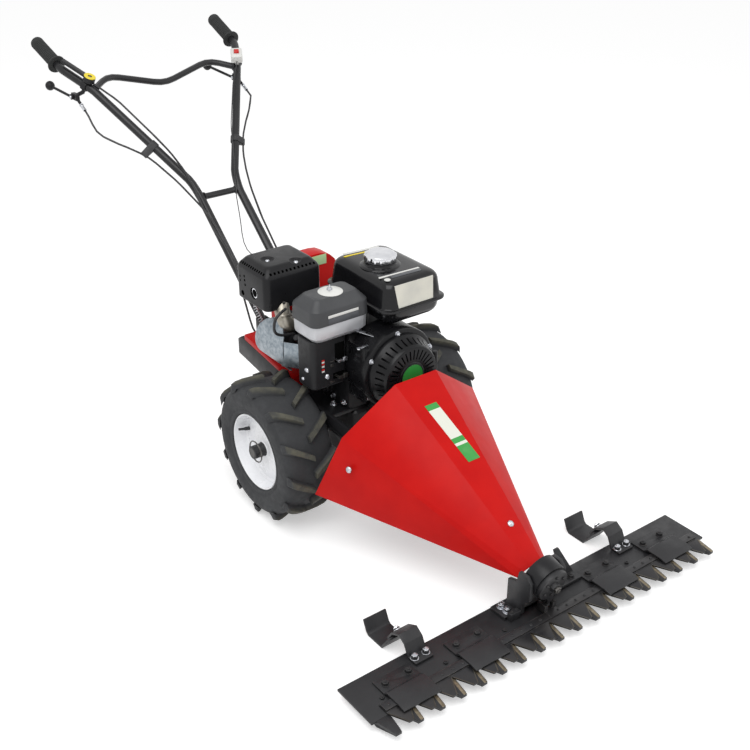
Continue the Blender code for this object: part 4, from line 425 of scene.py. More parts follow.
class Shop:
    """The modelling moves that every sub-assembly shares."""

    @staticmethod
    def only(obj: Thing) -> Thing:
        """Select one object alone and make it active."""
        bpy.ops.object.select_all(action="DESELECT")
        obj.select_set(True)
        bpy.context.view_layer.objects.active = obj
        return obj

    @staticmethod
    def settle(obj: Thing) -> Thing:
        """Write an object's place, turn and size into its mesh."""
        Shop.only(obj)
        bpy.ops.object.transform_apply(location=True, rotation=True, scale=True)
        return obj

    @staticmethod
    def modify(obj: Thing, kind: str, **values: object) -> None:
        """Add a modifier, set it and apply it.

        Args:
            obj: the mesh object to change.
            kind: Blender's name of the modifier type.
            values: properties of the modifier and their values.
        """
        Shop.only(obj)
        modifier = obj.modifiers.new("work", kind)
        for key, value in values.items():
            setattr(modifier, key, value)
        bpy.ops.object.modifier_apply(modifier=modifier.name)

    @staticmethod
    def edit(obj: Thing, *moves: Callable[[], object]) -> None:
        """Run some edit mode moves on everything in one object."""
        Shop.only(obj)
        bpy.ops.object.mode_set(mode="EDIT")
        bpy.ops.mesh.select_all(action="SELECT")
        for move in moves:
            move()
        bpy.ops.object.mode_set(mode="OBJECT")

    @staticmethod
    def everything() -> None:
        """Select the whole mesh, as a move for edit."""
        bpy.ops.mesh.select_all(action="SELECT")

    @staticmethod
    def merge() -> None:
        """Join points that lie on each other, as a move for edit."""
        bpy.ops.mesh.remove_doubles(threshold=0.00001)

    @staticmethod
    def outward() -> None:
        """Turn every face outward, as a move for edit."""
        bpy.ops.mesh.normals_make_consistent(inside=False)

    @staticmethod
    def raw(name: str, points: Sequence[Point], edges: Sequence[Point] = (),
            faces: Sequence[Point] = ()) -> Thing:
        """Return a new object whose mesh has these points, edges and faces."""
        mesh = bpy.data.meshes.new(name)
        mesh.from_pydata(points, list(edges), list(faces))
        obj = bpy.data.objects.new(name, mesh)
        bpy.context.collection.objects.link(obj)
        return obj

    @staticmethod
    def put(obj: Thing, centre: Vector, axes: Matrix) -> Thing:
        """Turn an object, set it at a place and write both into its mesh."""
        obj.matrix_world = Matrix.Translation(centre) @ axes
        return Shop.settle(obj)

    @staticmethod
    def smooth(obj: Thing, angle: float = 35.0) -> None:
        """Shade an object smooth up to an angle in degrees."""
        Shop.only(obj)
        bpy.ops.object.shade_smooth_by_angle(angle=math.radians(angle))

    @staticmethod
    def join(pieces: Sequence[Thing], name: str) -> Thing:
        """Join mesh objects into one and name it."""
        bpy.ops.object.select_all(action="DESELECT")
        for piece in pieces:
            piece.select_set(True)
        bpy.context.view_layer.objects.active = pieces[0]
        if len(pieces) > 1:
            bpy.ops.object.join()
        pieces[0].name = name
        return pieces[0]

    @staticmethod
    def turn(axis: Point) -> Matrix:
        """Return the turn that carries +Z onto an axis."""
        return Vector(axis).normalized().to_track_quat("Z", "Y").to_matrix().to_4x4()

    @staticmethod
    def block(centre: Vector, size: Point, bevel: float = 0.0, axes: Optional[Matrix] = None,
            segments: int = 2) -> Thing:
        """Return a box at its place with rounded edges.

        Args:
            centre: the middle of the box in the frame.
            size: its three lengths.
            bevel: the radius of its edges.
            axes: a turn of the box.
            segments: steps of the rounding.

        Returns:
            The mesh object.
        """
        bpy.ops.mesh.primitive_cube_add(size=1.0, location=(0, 0, 0))
        obj = bpy.context.object
        obj.scale = size
        Shop.settle(obj)
        if bevel:
            Shop.edit(obj, lambda: bpy.ops.mesh.bevel(offset=bevel, segments=segments, affect="EDGES"))
        return Shop.put(obj, centre, axes or Matrix())

    @staticmethod
    def lathe(centre: Vector, axis: Point, profile: Sequence[Point], steps: int = 48,
            closed: bool = False) -> Thing:
        """Return a turned piece: a profile spun around an axis.

        Args:
            centre: where the axis has its zero.
            axis: the direction of the axis.
            profile: pairs of radius and place along the axis.
            steps: sides of the round.
            closed: whether the profile closes on itself, as a ring's does.

        Returns:
            The mesh object.
        """
        count = len(profile)
        edges = [(i, i + 1) for i in range(count - 1)] + ([(count - 1, 0)] if closed else [])
        obj = Shop.raw("turned", [(r, 0.0, z) for r, z in profile], edges)
        Shop.edit(obj, lambda: bpy.ops.mesh.spin(steps=steps, angle=math.tau, center=(0, 0, 0),
                axis=(0, 0, 1)), Shop.everything, Shop.merge, Shop.outward)
        return Shop.put(obj, centre, Shop.turn(axis))

    @staticmethod
    def disc(centre: Vector, axis: Point, radius: float, low: float, high: float, steps: int) -> Thing:
        """Return a plain round that runs along an axis from low to high."""
        return Shop.lathe(centre, axis, [(0, low), (radius, low), (radius, high), (0, high)], steps)

    @staticmethod
    def sweep(points: Sequence[Vector], radius: float, sides: int = 6) -> Thing:
        """Return a round wire or tube along some points.

        Args:
            points: the places that the middle line passes.
            radius: half its thickness.
            sides: how round the section is.

        Returns:
            The mesh object.
        """
        curve = bpy.data.curves.new("wire", "CURVE")
        curve.dimensions = "3D"
        curve.bevel_depth = radius
        curve.bevel_resolution = sides
        curve.use_fill_caps = True
        curve.resolution_u = 10
        line = curve.splines.new("BEZIER")
        line.bezier_points.add(len(points) - 1)
        for place, point in zip(line.bezier_points, points):
            place.co = point
            place.handle_left_type = place.handle_right_type = "AUTO"
        obj = bpy.data.objects.new("wire", curve)
        bpy.context.collection.objects.link(obj)
        Shop.only(obj)
        bpy.ops.object.convert(target="MESH")
        Shop.smooth(obj, 50)
        return obj

    @staticmethod
    def prism(outline: Sequence[Point], low: float, high: float, bevel: float = 0.0) -> Thing:
        """Return a flat outline in X and Y raised from one height to another.

        Args:
            outline: the corners in order.
            low: height of the underside.
            high: height of the top.
            bevel: the radius of all its edges.

        Returns:
            The mesh object, still in its own X, Y and Z.
        """
        obj = Shop.raw("plate", [(x, y, low) for x, y in outline], [], [tuple(range(len(outline)))])
        rise = {"value": (0, 0, high - low)}
        Shop.edit(obj, lambda: bpy.ops.mesh.extrude_region_move(TRANSFORM_OT_translate=rise),
                Shop.everything, Shop.outward)
        if bevel:
            Shop.modify(obj, "BEVEL", width=bevel, segments=2, limit_method="ANGLE",
                    angle_limit=math.radians(30))
        return obj

    @staticmethod
    def loft(low: Point, high: Point, corner: float, levels: Sequence[Point],
            segments: int = 5) -> Thing:
        """Return a body whose level sections are round-cornered rectangles.

        Args:
            low: the least x and y of the widest section, from the axle.
            high: its greatest x and y.
            corner: the radius of its corners.
            levels: pairs of height and inset, from the bottom up.
            segments: steps of each corner.

        Returns:
            The mesh object, in place.
        """
        width, depth = high[0] - low[0], high[1] - low[1]
        first = levels[0]
        bpy.ops.mesh.primitive_plane_add(size=1.0, location=(0, 0, 0))
        obj = bpy.context.object
        obj.scale = (width, depth, 1.0)
        Shop.settle(obj)
        Shop.edit(obj, lambda: bpy.ops.mesh.bevel(offset=corner, segments=segments, affect="VERTICES"))
        obj.scale = (1 - 2 * first[1] / width, 1 - 2 * first[1] / depth, 1.0)
        Shop.settle(obj)
        Shop.only(obj)
        bpy.ops.object.mode_set(mode="EDIT")
        bpy.ops.mesh.select_all(action="SELECT")
        for below, level in zip(levels, levels[1:]):
            rise = {"value": (0, 0, level[0] - below[0])}
            bpy.ops.mesh.extrude_region_move(TRANSFORM_OT_translate=rise)
            grow = ((width - 2 * level[1]) / (width - 2 * below[1]),
                    (depth - 2 * level[1]) / (depth - 2 * below[1]), 1)
            bpy.ops.transform.resize(value=grow, center_override=(0, 0, level[0] - first[0]))
        bpy.ops.mesh.select_all(action="SELECT")
        bpy.ops.mesh.normals_make_consistent(inside=False)
        bpy.ops.object.mode_set(mode="OBJECT")
        obj.location = at((low[0] + high[0]) / 2, (low[1] + high[1]) / 2, first[0])
        return Shop.settle(obj)

    @staticmethod
    def cut(obj: Thing, tool: Thing, operation: str = "DIFFERENCE") -> Thing:
        """Cut one mesh with another, or unite them, and remove the tool."""
        Shop.modify(obj, "BOOLEAN", object=tool, operation=operation, solver="EXACT")
        bpy.data.objects.remove(tool)
        return obj

    @staticmethod
    def pierce(obj: Thing, tool: Thing, shell: Finish, hollow: Finish) -> None:
        """Cut a piece and show another finish inside the cut, a painted shade on the cut's walls.

        Args:
            obj: the piece.
            tool: the mesh that is taken away.
            shell: the piece's own finish.
            hollow: the finish of the cut's walls, a painted shade.
        """
        Shop.dress(obj, shell, hollow)
        Shop.dress(tool, shell, hollow)
        for face in tool.data.polygons:
            face.material_index = 1
        Shop.cut(obj, tool)

    @staticmethod
    def copy(obj: Thing, move: Matrix) -> Thing:
        """Return a copy with its own mesh, moved, with its place written into it."""
        Shop.only(obj)
        bpy.ops.object.duplicate()
        twin = bpy.context.object
        twin.matrix_world = move @ twin.matrix_world
        return Shop.settle(twin)

    @staticmethod
    def refine(node: str, bevel: float, segments: int = 2, angle: float = 28.0,
            flat: float = 3.0) -> Thing:
        """Return a copy of a solid with its edges rounded, standing in for it.

        Args:
            node: the node that the copy replaces.
            bevel: the radius of the edges, or 0 to leave them sharp.
            segments: steps of the rounding.
            angle: the smallest edge angle that is rounded, in degrees.
            flat: faces closer than this angle are made one.

        Returns:
            The new mesh object.
        """
        source = frame["nodes"][node]
        Shop.only(source)
        bpy.ops.object.duplicate()
        obj = bpy.context.object
        obj.name = "fine_" + node
        body = obj["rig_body"]
        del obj["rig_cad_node"]
        obj.parent = None
        Shop.edit(obj, Shop.merge, Shop.outward,
                lambda: bpy.ops.mesh.dissolve_limited(angle_limit=math.radians(flat)))
        if bevel:
            Shop.modify(obj, "BEVEL", width=bevel, segments=segments, limit_method="ANGLE",
                    angle_limit=math.radians(angle), use_clamp_overlap=True)
        Shop.smooth(obj, 40)
        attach(obj, body)
        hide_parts(node)
        return obj

    @staticmethod
    def bolt(centre: Vector, axis: Point, across: float, height: float, finish: Finish,
            washer: float = 0.0) -> Thing:
        """Return a hexagon head or nut that stands on a face.

        Args:
            centre: where its axis meets the face.
            axis: the way it points.
            across: its width over two flats.
            height: how far it stands up.
            finish: its surface.
            washer: the radius of a washer under it, or 0.

        Returns:
            The mesh object.
        """
        lift = 0.0012 if washer else 0.0
        bpy.ops.mesh.primitive_cylinder_add(vertices=6, radius=across / 1.732, depth=height,
                location=(0, 0, height / 2 + lift))
        head = Shop.settle(bpy.context.object)
        Shop.modify(head, "BEVEL", width=height * 0.12, segments=2, limit_method="ANGLE")
        top = height + lift
        stud = Shop.lathe(Vector(), (0, 0, 1), [(0, top - 0.001), (across * 0.27, top - 0.001),
                (across * 0.27, top + 0.0012), (across * 0.22, top + 0.002), (0, top + 0.002)], 16)
        parts = [head, stud]
        if washer:
            parts.append(Shop.lathe(Vector(), (0, 0, 1), [(0, -0.0006), (washer, -0.0006),
                    (washer, 0.001), (washer - 0.0004, 0.0014), (0, 0.0014)], 24))
        obj = Shop.put(Shop.join(parts, "bolt"), centre, Shop.turn(axis))
        Shop.smooth(obj, 30)
        return Shop.dress(obj, finish)

    @staticmethod
    def dress(obj: Thing, *finishes: Finish) -> Thing:
        """Give an object its finishes, the first one on every face."""
        obj.data.materials.clear()
        for finish in finishes:
            obj.data.materials.append(finish.make())
        return obj


@dataclass
class Assembly:
    """One sub-assembly: it builds pieces, dresses nodes and keeps a list of them.

    Attributes:
        title: the assembly's name for the log.
        pieces: the new objects it has made.
    """

    title: str = "assembly"
    pieces: list[Thing] = field(default_factory=list)

    def keep(self, obj: Thing, name: str, body: Body, *finishes: Finish, angle: float = 35.0) -> Thing:
        """Name a finished piece, dress it and let it ride on its body.

        Args:
            obj: the mesh object, in place.
            name: its name.
            body: the body that carries it.
            finishes: its surfaces; none keeps what it has.
            angle: smooth shading goes up to this edge angle.

        Returns:
            The same object.
        """
        obj.name = name
        obj.data.name = name
        if finishes:
            Shop.dress(obj, *finishes)
            Shop.smooth(obj, angle)
        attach(obj, body.value)
        self.pieces.append(obj)
        return obj

    def paint(self, finish: Finish, *nodes: str) -> None:
        """Put a finish into every material slot of some carried-over nodes."""
        material = finish.make()
        for node in nodes:
            for slot in frame["nodes"][node].material_slots:
                slot.material = material

    def build(self) -> None:
        """Build and dress the assembly."""

    def report(self) -> None:
        """Log what the assembly is made of."""
        LOG.info("%s: %d new pieces", self.title, len(self.pieces))
        for piece in self.pieces:
            LOG.info("  %s, %d faces", piece.name, len(piece.data.polygons))


@dataclass
class Wheels(Assembly):
    """Two wheels with lugged tyres on white rims, and the axle between them.

    Attributes:
        track: half the distance between the wheels' middles.
        width: a tyre's width.
        radius: a tyre's radius over its lugs.
        carcass: its radius between the lugs.
        rim: the rim's radius.
        lugs: the lugs on each side.
        sweep: how far a lug runs round from the middle to the shoulder, in radians.
    """

    title: str = "wheels"
    track: float = 0.20425
    width: float = 0.1275
    radius: float = 0.1655
    carcass: float = 0.151
    rim: float = 0.0892
    lugs: int = 12
    sweep: float = 0.26

    def carcass_of(self) -> Thing:
        """Return the plain tyre around its own Z axis."""
        half = self.width / 2
        profile = [(self.rim + 0.0006, 0.0555), (0.0925, 0.059), (0.0985, 0.0605), (0.1015, 0.0596),
                (0.108, 0.062), (0.12, half - 0.0005), (0.132, half - 0.001), (0.1405, 0.06),
                (0.1462, 0.0545), (0.1496, 0.043), (0.1506, 0.022), (self.carcass, 0.0)]
        ring = profile + [(r, -z) for r, z in reversed(profile[:-1])]
        ring += [(self.rim + 0.0006, -0.05), (0.13, -0.05), (0.13, 0.05), (self.rim + 0.0006, 0.05)]
        return Shop.lathe(Vector(), (0, 0, 1), ring, 96, closed=True)

    def lug(self, side: int) -> Thing:
        """Return one lug: a bar that runs from the tyre's middle round to its shoulder.

        Args:
            side: 1 or -1, the half of the tyre it lies on.

        Returns:
            The mesh object around the tyre's own Z axis.
        """
        stations = ((0.0, 0.0135, 0.0145), (0.018, 0.0145, 0.0145), (0.036, 0.0155, 0.0142),
                (0.05, 0.0175, 0.0125), (0.0585, 0.019, 0.0085), (0.0628, 0.0185, 0.001))
        corners: list[Vector] = []
        for place, breadth, height in stations:
            sway = self.sweep * place / (self.width / 2)
            for share, rise in ((-0.62, -0.004), (-0.43, height - 0.0018), (-0.36, height),
                    (0.36, height), (0.43, height - 0.0018), (0.62, -0.004)):
                level = self.carcass + rise if place < 0.06 else self.carcass - 0.006 + rise
                turn = sway + share * breadth / self.carcass
                corners.append(Vector((level * math.cos(turn), level * math.sin(turn), side * place)))
        rows = len(stations)
        faces = [(6 * r + c, 6 * r + c + 1, 6 * r + c + 7, 6 * r + c + 6) for r in range(rows - 1)
                for c in range(5)]
        faces += [(6 * r, 6 * r + 6, 6 * r + 11, 6 * r + 5) for r in range(rows - 1)]
        faces += [tuple(range(6)), tuple(range(6 * rows - 6, 6 * rows))]
        obj = Shop.raw("lug", corners, [], faces)
        Shop.edit(obj, Shop.outward)
        return obj

    def tyre(self, label: str, side: int) -> None:
        """Build one tyre with its lugs."""
        parts = [self.carcass_of()]
        pitch = math.tau / self.lugs
        for half, offset in ((1, 0.0), (-1, 0.5)):
            first = self.lug(half)
            for step in range(self.lugs):
                parts.append(Shop.copy(first, Matrix.Rotation((step + offset) * pitch, 4, "Z")))
            bpy.data.objects.remove(first)
        obj = Shop.join(parts, "tyre")
        stand = Matrix.Rotation(math.pi / 2 + pitch / 2, 4, "Z")
        middle = Matrix.Translation(at(side * self.track, 0, self.radius))
        obj.matrix_world = middle @ Shop.turn((side, 0, 0)) @ stand
        Shop.settle(obj)
        self.keep(obj, "tyre_" + label + "_tread", Body.WHEELS, Look.TYRE, angle=32)
        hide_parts("tyre_" + label)

    def wheel_rim(self, label: str, side: int) -> None:
        """Build one white dished rim with its rolled edge and dark hub."""
        edge = 0.0575
        profile = [(self.rim - 0.0012, -edge), (self.rim, -edge + 0.001), (self.rim, edge - 0.0022),
                (self.rim - 0.0008, edge - 0.0006), (self.rim - 0.0022, edge),
                (self.rim - 0.0036, edge - 0.0008), (self.rim - 0.004, edge - 0.004),
                (self.rim - 0.0046, 0.046), (self.rim - 0.007, 0.04), (self.rim - 0.0082, 0.03),
                (0.076, 0.0262), (0.064, 0.0292), (0.05, 0.0318), (0.03, 0.0326), (0.0185, 0.0328),
                (0.0165, 0.0345), (0.0152, 0.0375), (0.015, 0.0618), (0.014, 0.0625), (0.0105, 0.0625),
                (0.0103, 0.0605), (0.0103, -0.03), (0.015, -0.03), (0.015, 0.0288), (0.06, 0.0288),
                (self.rim - 0.0034, 0.0205), (self.rim - 0.0034, -edge)]
        middle = at(side * self.track, 0, self.radius)
        obj = Shop.lathe(middle, (side, 0, 0), profile, 72, closed=True)
        Shop.dress(obj, Look.RIM, Look.GEARBOX)
        for face in obj.data.polygons:
            away = face.center - middle
            if math.hypot(away.y, away.z) < 0.017:
                face.material_index = 1
        Shop.smooth(obj, 32)
        self.keep(obj, "rim_" + label + "_dish", Body.WHEELS)
        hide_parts("rim_" + label)
        valve = Shop.lathe(at(side * (self.track + 0.028), 0.066, self.radius + 0.02),
                (side, 0.25, 0.1), [(0, 0), (0.0045, 0), (0.0042, 0.01), (0.003, 0.014), (0.003, 0.024),
                (0.0026, 0.026), (0, 0.026)], 16)
        self.keep(valve, "valve_" + label, Body.WHEELS, Look.PLUG)

    def build(self) -> None:
        """Build both wheels and dress the axle."""
        for label, side in (("right", -1), ("left", 1)):
            self.tyre(label, side)
            self.wheel_rim(label, side)
        self.paint(Look.PIN, "axle_shaft")


@dataclass
class Chassis(Assembly):
    """The frame rails, the red engine plate and the gearbox."""

    title: str = "chassis"

    def build(self) -> None:
        """Round the frame's edges, dress it and set its bolts."""
        for node, bevel, finish in (("frame_rails", 0.0012, Look.BLACK_STEEL),
                ("side_plate", 0.0008, Look.RED), ("gearbox_housing", 0.0022, Look.GEARBOX)):
            Shop.dress(Shop.refine(node, bevel), finish)
        self.paint(Look.STEEL, "input_shaft")
        bolts = []
        for side in (-1, 1):
            for y in (-0.07, 0.01, 0.045):
                bolts.append(Shop.bolt(at(side * 0.1352, y, 0.2505), (side, 0, 0), 0.01, 0.005,
                        Look.ZINC, 0.0075))
            for y, z in ((0.076, 0.295), (0.15, 0.306), (0.215, 0.3155)):
                bolts.append(Shop.bolt(at(side * 0.118, y, z - 0.0005), (0, -0.145, 0.989), 0.009,
                        0.004, Look.ZINC, 0.007))
        for x in (-0.086, 0.095):
            for y in (-0.06, 0.062):
                bolts.append(Shop.bolt(at(x, y, 0.2556), (0, 0, 1), 0.011, 0.006, Look.ZINC, 0.0085))
        self.keep(Shop.join(bolts, "bolts"), "frame_bolts", Body.CHASSIS)


@dataclass
class BladeDrive(Assembly):
    """The folded red cover, the belt drive, the drive tube and the rocker.

    Attributes:
        rear: the cover's rear corners on the left: side, shoulder and ridge.
        front: its front corners in the same order.
    """

    title: str = "blade drive"
    rear: tuple[Point, ...] = ((0.215, -0.169, 0.126), (0.18, -0.223, 0.282), (0.0549, -0.241, 0.3754))
    front: tuple[Point, ...] = ((0.04, -0.621, 0.103), (0.03, -0.624, 0.117), (0.015, -0.627, 0.125))

    def cover(self) -> None:
        """Build the folded sheet with soft folds and its three round screws."""
        obj = Shop.refine("cone_cover", 0.0026, 3, angle=12, flat=0.5)
        Shop.dress(obj, Look.RED)
        screws = []
        for place, axis in (((-0.185, -0.254, 0.222), (-0.92, -0.3, 0.2)),
                ((0.185, -0.254, 0.222), (0.92, -0.3, 0.2)),
                ((0.0, -0.549, 0.1757), (0.0, -0.545, 0.838))):
            screws.append(self.screw(at(*place), axis))
        self.keep(Shop.join(screws, "screws"), "cover_screws", Body.CHASSIS)

    @staticmethod
    def screw(place: Vector, axis: Point, radius: float = 0.0072) -> Thing:
        """Return a bright dome screw with a cross recess."""
        head = Shop.lathe(Vector(), (0, 0, 1), [(0, -0.002), (radius, -0.002), (radius, 0.0006),
                (radius * 0.93, 0.0017), (radius * 0.72, 0.0029), (radius * 0.4, 0.0038), (0, 0.0042)],
                28)
        for turn in (0.0, math.pi / 2):
            slot = Shop.block(Vector((0, 0, 0.004)), (radius * 0.95, radius * 0.2, 0.003), 0.0,
                    Matrix.Rotation(turn, 4, "Z"))
            Shop.cut(head, slot)
        Shop.put(head, place, Shop.turn(axis))
        Shop.smooth(head, 30)
        return Shop.dress(head, Look.ZINC)

    def panel(self, share: float, side: float) -> Vector:
        """Return a place on the top panel: share from rear to front, side from -1 to 1."""
        rear, front = Vector(self.rear[2]), Vector(self.front[2])
        place = rear.lerp(front, share)
        return at(place.x * side, place.y, place.z)

    def label(self) -> None:
        """Lay a thin plain green and white label on the top panel."""
        lift = Vector((0, -0.545, 0.838)).normalized() * 0.0004
        corners = [self.panel(s, t) + lift for s, t in ((0.15, -0.45), (0.15, 0.18), (0.47, 0.72),
                (0.47, -0.12))]
        obj = Shop.raw("label", corners, [], [(0, 1, 2, 3)])
        Shop.modify(obj, "SOLIDIFY", thickness=0.0006, offset=0.0)
        self.keep(obj, "cover_label", Body.CHASSIS, Look.LABEL)

    def head(self) -> None:
        """Build the round drive head with its rim, the rocker's hub and their bolts."""
        obj = Shop.refine("drive_tube", 0.0012, 2, angle=35)
        Shop.dress(obj, Look.BLACK_STEEL)
        Shop.dress(Shop.refine("rocker_arm", 0.001), Look.BAR_BLACK)
        axis = Vector((0.0, -0.9703, -0.2419))
        middle = Vector((0.0, -0.6726, 0.1024)) + axis * 0.0052
        bolts = [Shop.bolt(at(*(middle + axis * 0.0078)), axis, 0.015, 0.006, Look.PIN)]
        for turn in range(6):
            angle = math.radians(30 + 60 * turn)
            around = Vector((math.cos(angle), 0, 0)) + Vector((0, -0.2419, 0.9703)) * math.sin(angle)
            bolts.append(Shop.bolt(at(*(middle + around * 0.0245)), axis, 0.0062, 0.0024,
                    Look.BAR_BLACK))
        self.keep(Shop.join(bolts, "bolts"), "rocker_bolts", Body.ROCKER)

    def build(self) -> None:
        """Build and dress the drive."""
        self.cover()
        self.label()
        self.head()
        Shop.dress(Shop.refine("belt_cover", 0.003, 3), Look.RED)
        self.paint(Look.ZINC, "idler_arm")
        self.paint(Look.STEEL, "drive_shaft")
        self.paint(Look.BELT, "drive_belt")
        bolts = [Shop.bolt(at(x, 0.2162, z), (0, 1, 0), 0.01, 0.005, Look.ZINC, 0.008)
                for z in (0.17, 0.47) for x in (-0.05, 0.075)]
        self.keep(Shop.join(bolts, "bolts"), "belt_cover_bolts", Body.CHASSIS)
        patch = Shop.block(at(0.035, 0.1716, 0.4935), (0.05, 0.0012, 0.024), 0.0002)
        self.keep(patch, "belt_cover_patch", Body.CHASSIS, Look.PALE)


@dataclass
class Cutter(Assembly):
    """The cutter bar with its fingers, knife, clips, skids and foot.

    Attributes:
        pitch: the distance between fingers.
        fingers: how many there are.
        top: the height of the bar's top.
        section: heights of a knife section's underside and top.
        shift: the place of the middle knife section.
        shoulder: y where the fingers leave the bar, and y of the middle of their tops.
        split: how far right of a finger's middle its bare surface begins.
        slope: the side and forward parts of the direction across that line.
        trim: how much narrower the right side of a finger is than the solid's.
    """

    title: str = "cutter"
    pitch: float = 0.05
    fingers: int = 18
    top: float = 0.0245
    section: tuple[float, float] = (0.0248, 0.0278)
    shift: float = 0.008
    shoulder: tuple[float, float] = (-0.69, -0.712)
    split: float = 0.002
    slope: tuple[float, float] = (0.987, -0.16)
    trim: float = 0.28

    def middle(self, step: int) -> float:
        """Return the place of one finger's middle across the machine."""
        return (step - (self.fingers - 1) / 2) * self.pitch

    def between(self, step: int) -> float:
        """Return the place halfway from one finger to the next."""
        return (step - (self.fingers - 2) / 2) * self.pitch

    def nearest(self, x: float) -> tuple[int, float]:
        """Return the finger nearest to a place and how far right of its middle that is."""
        step = round(x / self.pitch + (self.fingers - 1) / 2)
        return step, x - self.middle(step)

    def comb(self) -> None:
        """Round the fingers and give the right half of their tops the bare ledger surface."""
        obj = Shop.refine("guard_fingers", 0.0007)
        Shop.dress(obj, Look.BAR_BLACK, Look.LEDGER)
        edge, centre = (at(0, y, 0).y for y in self.shoulder)
        Shop.only(obj)
        bpy.ops.object.mode_set(mode="EDIT")
        for step in range(self.fingers):
            bpy.ops.mesh.select_all(action="SELECT")
            line = (self.middle(step) + self.split, centre, 0)
            bpy.ops.mesh.bisect(plane_co=line, plane_no=(*self.slope, 0.0))
        bpy.ops.object.mode_set(mode="OBJECT")
        for vert in obj.data.vertices:
            _, away = self.nearest(vert.co.x)
            if vert.co.y < edge and self.split < away < 0.02:
                vert.co.x -= self.trim * (away - self.split)
        across, ahead = self.slope
        for face in obj.data.polygons:
            step, away = self.nearest(face.center.x)
            lean = across * (away - self.split) + ahead * (face.center.y - centre)
            top = face.normal.z > 0.9 and face.center.z > self.top - 0.0005
            if top and face.center.y < edge and step > 0 and lean > 0:
                face.material_index = 1

    def knife(self) -> None:
        """Build the knife's serrated sections over the dressed knife back."""
        obj = Shop.refine("knife_bar", 0.0004)
        Shop.dress(obj, Look.KNIFE)
        high = self.section[1]
        rivets = []
        for step in range(self.fingers - 1):
            x = self.shift + self.between(step)
            for offset in (-0.0125, 0.0125):
                if abs(x + offset) > 0.02:
                    rivets.append(Shop.lathe(at(x + offset, -0.677, 0.0314), (0, 0, 1),
                            [(0, 0), (0.0034, 0), (0.0031, 0.0011), (0.002, 0.0018), (0, 0.0021)], 14))
        self.keep(Shop.join(rivets, "rivets"), "knife_rivets", Body.KNIFE, Look.BAR_BLACK)
        strips = []
        for step in range(self.fingers - 1):
            x = self.shift + self.between(step)
            for side in (-1, 1):
                rear = Vector((x + side * 0.0243, -0.691, 0))
                tip = Vector((x + side * 0.0053, -0.7288, 0))
                inner = Vector((-side * 0.0022, 0.0, 0))
                strip = Shop.prism([(p.x, p.y) for p in (rear, tip, tip + inner, rear + inner)],
                        high - 0.0002, high + 0.00015)
                strip.location = at(0, 0, 0)
                strips.append(Shop.settle(strip))
        self.keep(Shop.join(strips, "edges"), "knife_edges", Body.KNIFE, Look.EDGE)

    def serration(self) -> None:
        """Lay fine black marks across the ledger strip of every finger, where its teeth are."""
        notches = []
        for step in range(self.fingers):
            x = self.middle(step)
            for side in (-1, 1):
                for tooth in range(12):
                    share = (tooth + 0.5) / 12
                    reach = 0.016 - 0.0085 * share if side < 0 else 0.0118 - 0.0062 * share
                    notches.append(Shop.block(at(x + side * reach, -0.694 - 0.037 * share,
                            self.top - 0.0001), (0.0026, 0.0008, 0.0004)))
        self.keep(Shop.join(notches, "notches"), "finger_serration", Body.CHASSIS, Look.BAR_BLACK)

    def bolts(self) -> None:
        """Set the black bar bolts, the bright skid nuts and the foot's nuts."""
        black, bright = [], []
        for step in range(self.fingers - 1):
            x = self.between(step)
            if min(abs(abs(x) - c) for c in (0.18, 0.35)) > 0.05 and not -0.095 < x < 0.15:
                black.append(Shop.bolt(at(x, -0.652, self.top), (0, 0, 1), 0.0085, 0.0035,
                        Look.BAR_BLACK))
        for side in (-1, 1):
            for middle in (0.18, 0.35):
                for offset in (-0.027, 0.027):
                    spot = at(side * middle + offset, -0.631, 0.0288)
                    black.append(Shop.bolt(spot, (0, 0, 1), 0.0125, 0.006, Look.BAR_BLACK, 0.0085))
                for offset in (-0.031, 0.0, 0.031):
                    black.append(Shop.bolt(at(side * middle + offset, -0.657, 0.0288), (0, 0, 1), 0.007,
                            0.0022, Look.BAR_BLACK))
            for offset in (-0.0135, 0.0135):
                spot = at(side * 0.2785 + offset, -0.611, 0.0296)
                bright.append(Shop.bolt(spot, (0, 0, 1), 0.0115, 0.008, Look.ZINC, 0.0085))
            seat = at(side * 0.2785, -0.5435, 0.0397) + Vector((0, 0.845, 0.534)) * 0.0036
            bright.append(Shop.bolt(seat, (0, 0.845, 0.534), 0.011, 0.0055, Look.ZINC, 0.008))
        for x, y in ((-0.0655, -0.604), (-0.0655, -0.621)):
            bright.append(Shop.bolt(at(x, y, 0.0328), (0, 0, 1), 0.013, 0.0085, Look.ZINC, 0.0092))
        for x in (-0.0685, -0.056):
            black.append(Shop.bolt(at(x, -0.637, 0.0428), (0, 0, 1), 0.006, 0.0022, Look.BAR_BLACK))
        for x, y in ((0.07, -0.618), (0.115, -0.62)):
            black.append(Shop.bolt(at(x, y, 0.0328), (0, 0, 1), 0.011, 0.005, Look.BAR_BLACK, 0.008))
        self.keep(Shop.join(black, "bolts"), "bar_bolts", Body.CHASSIS)
        self.keep(Shop.join(bright, "nuts"), "bright_nuts", Body.CHASSIS)

    def build(self) -> None:
        """Build and dress the cutter."""
        for node, bevel in (("cutter_bar", 0.0008), ("bar_foot", 0.001), ("skid_left", 0.0012),
                ("skid_right", 0.0012), ("skid_bracket_left", 0.0008), ("skid_bracket_right", 0.0008)):
            Shop.dress(Shop.refine(node, bevel), Look.BAR_BLACK)
        for number in range(1, 5):
            Shop.dress(Shop.refine("hold_down_clip_" + str(number), 0.0006), Look.BAR_BLACK)
        self.comb()
        self.serration()
        self.knife()
        self.bolts()


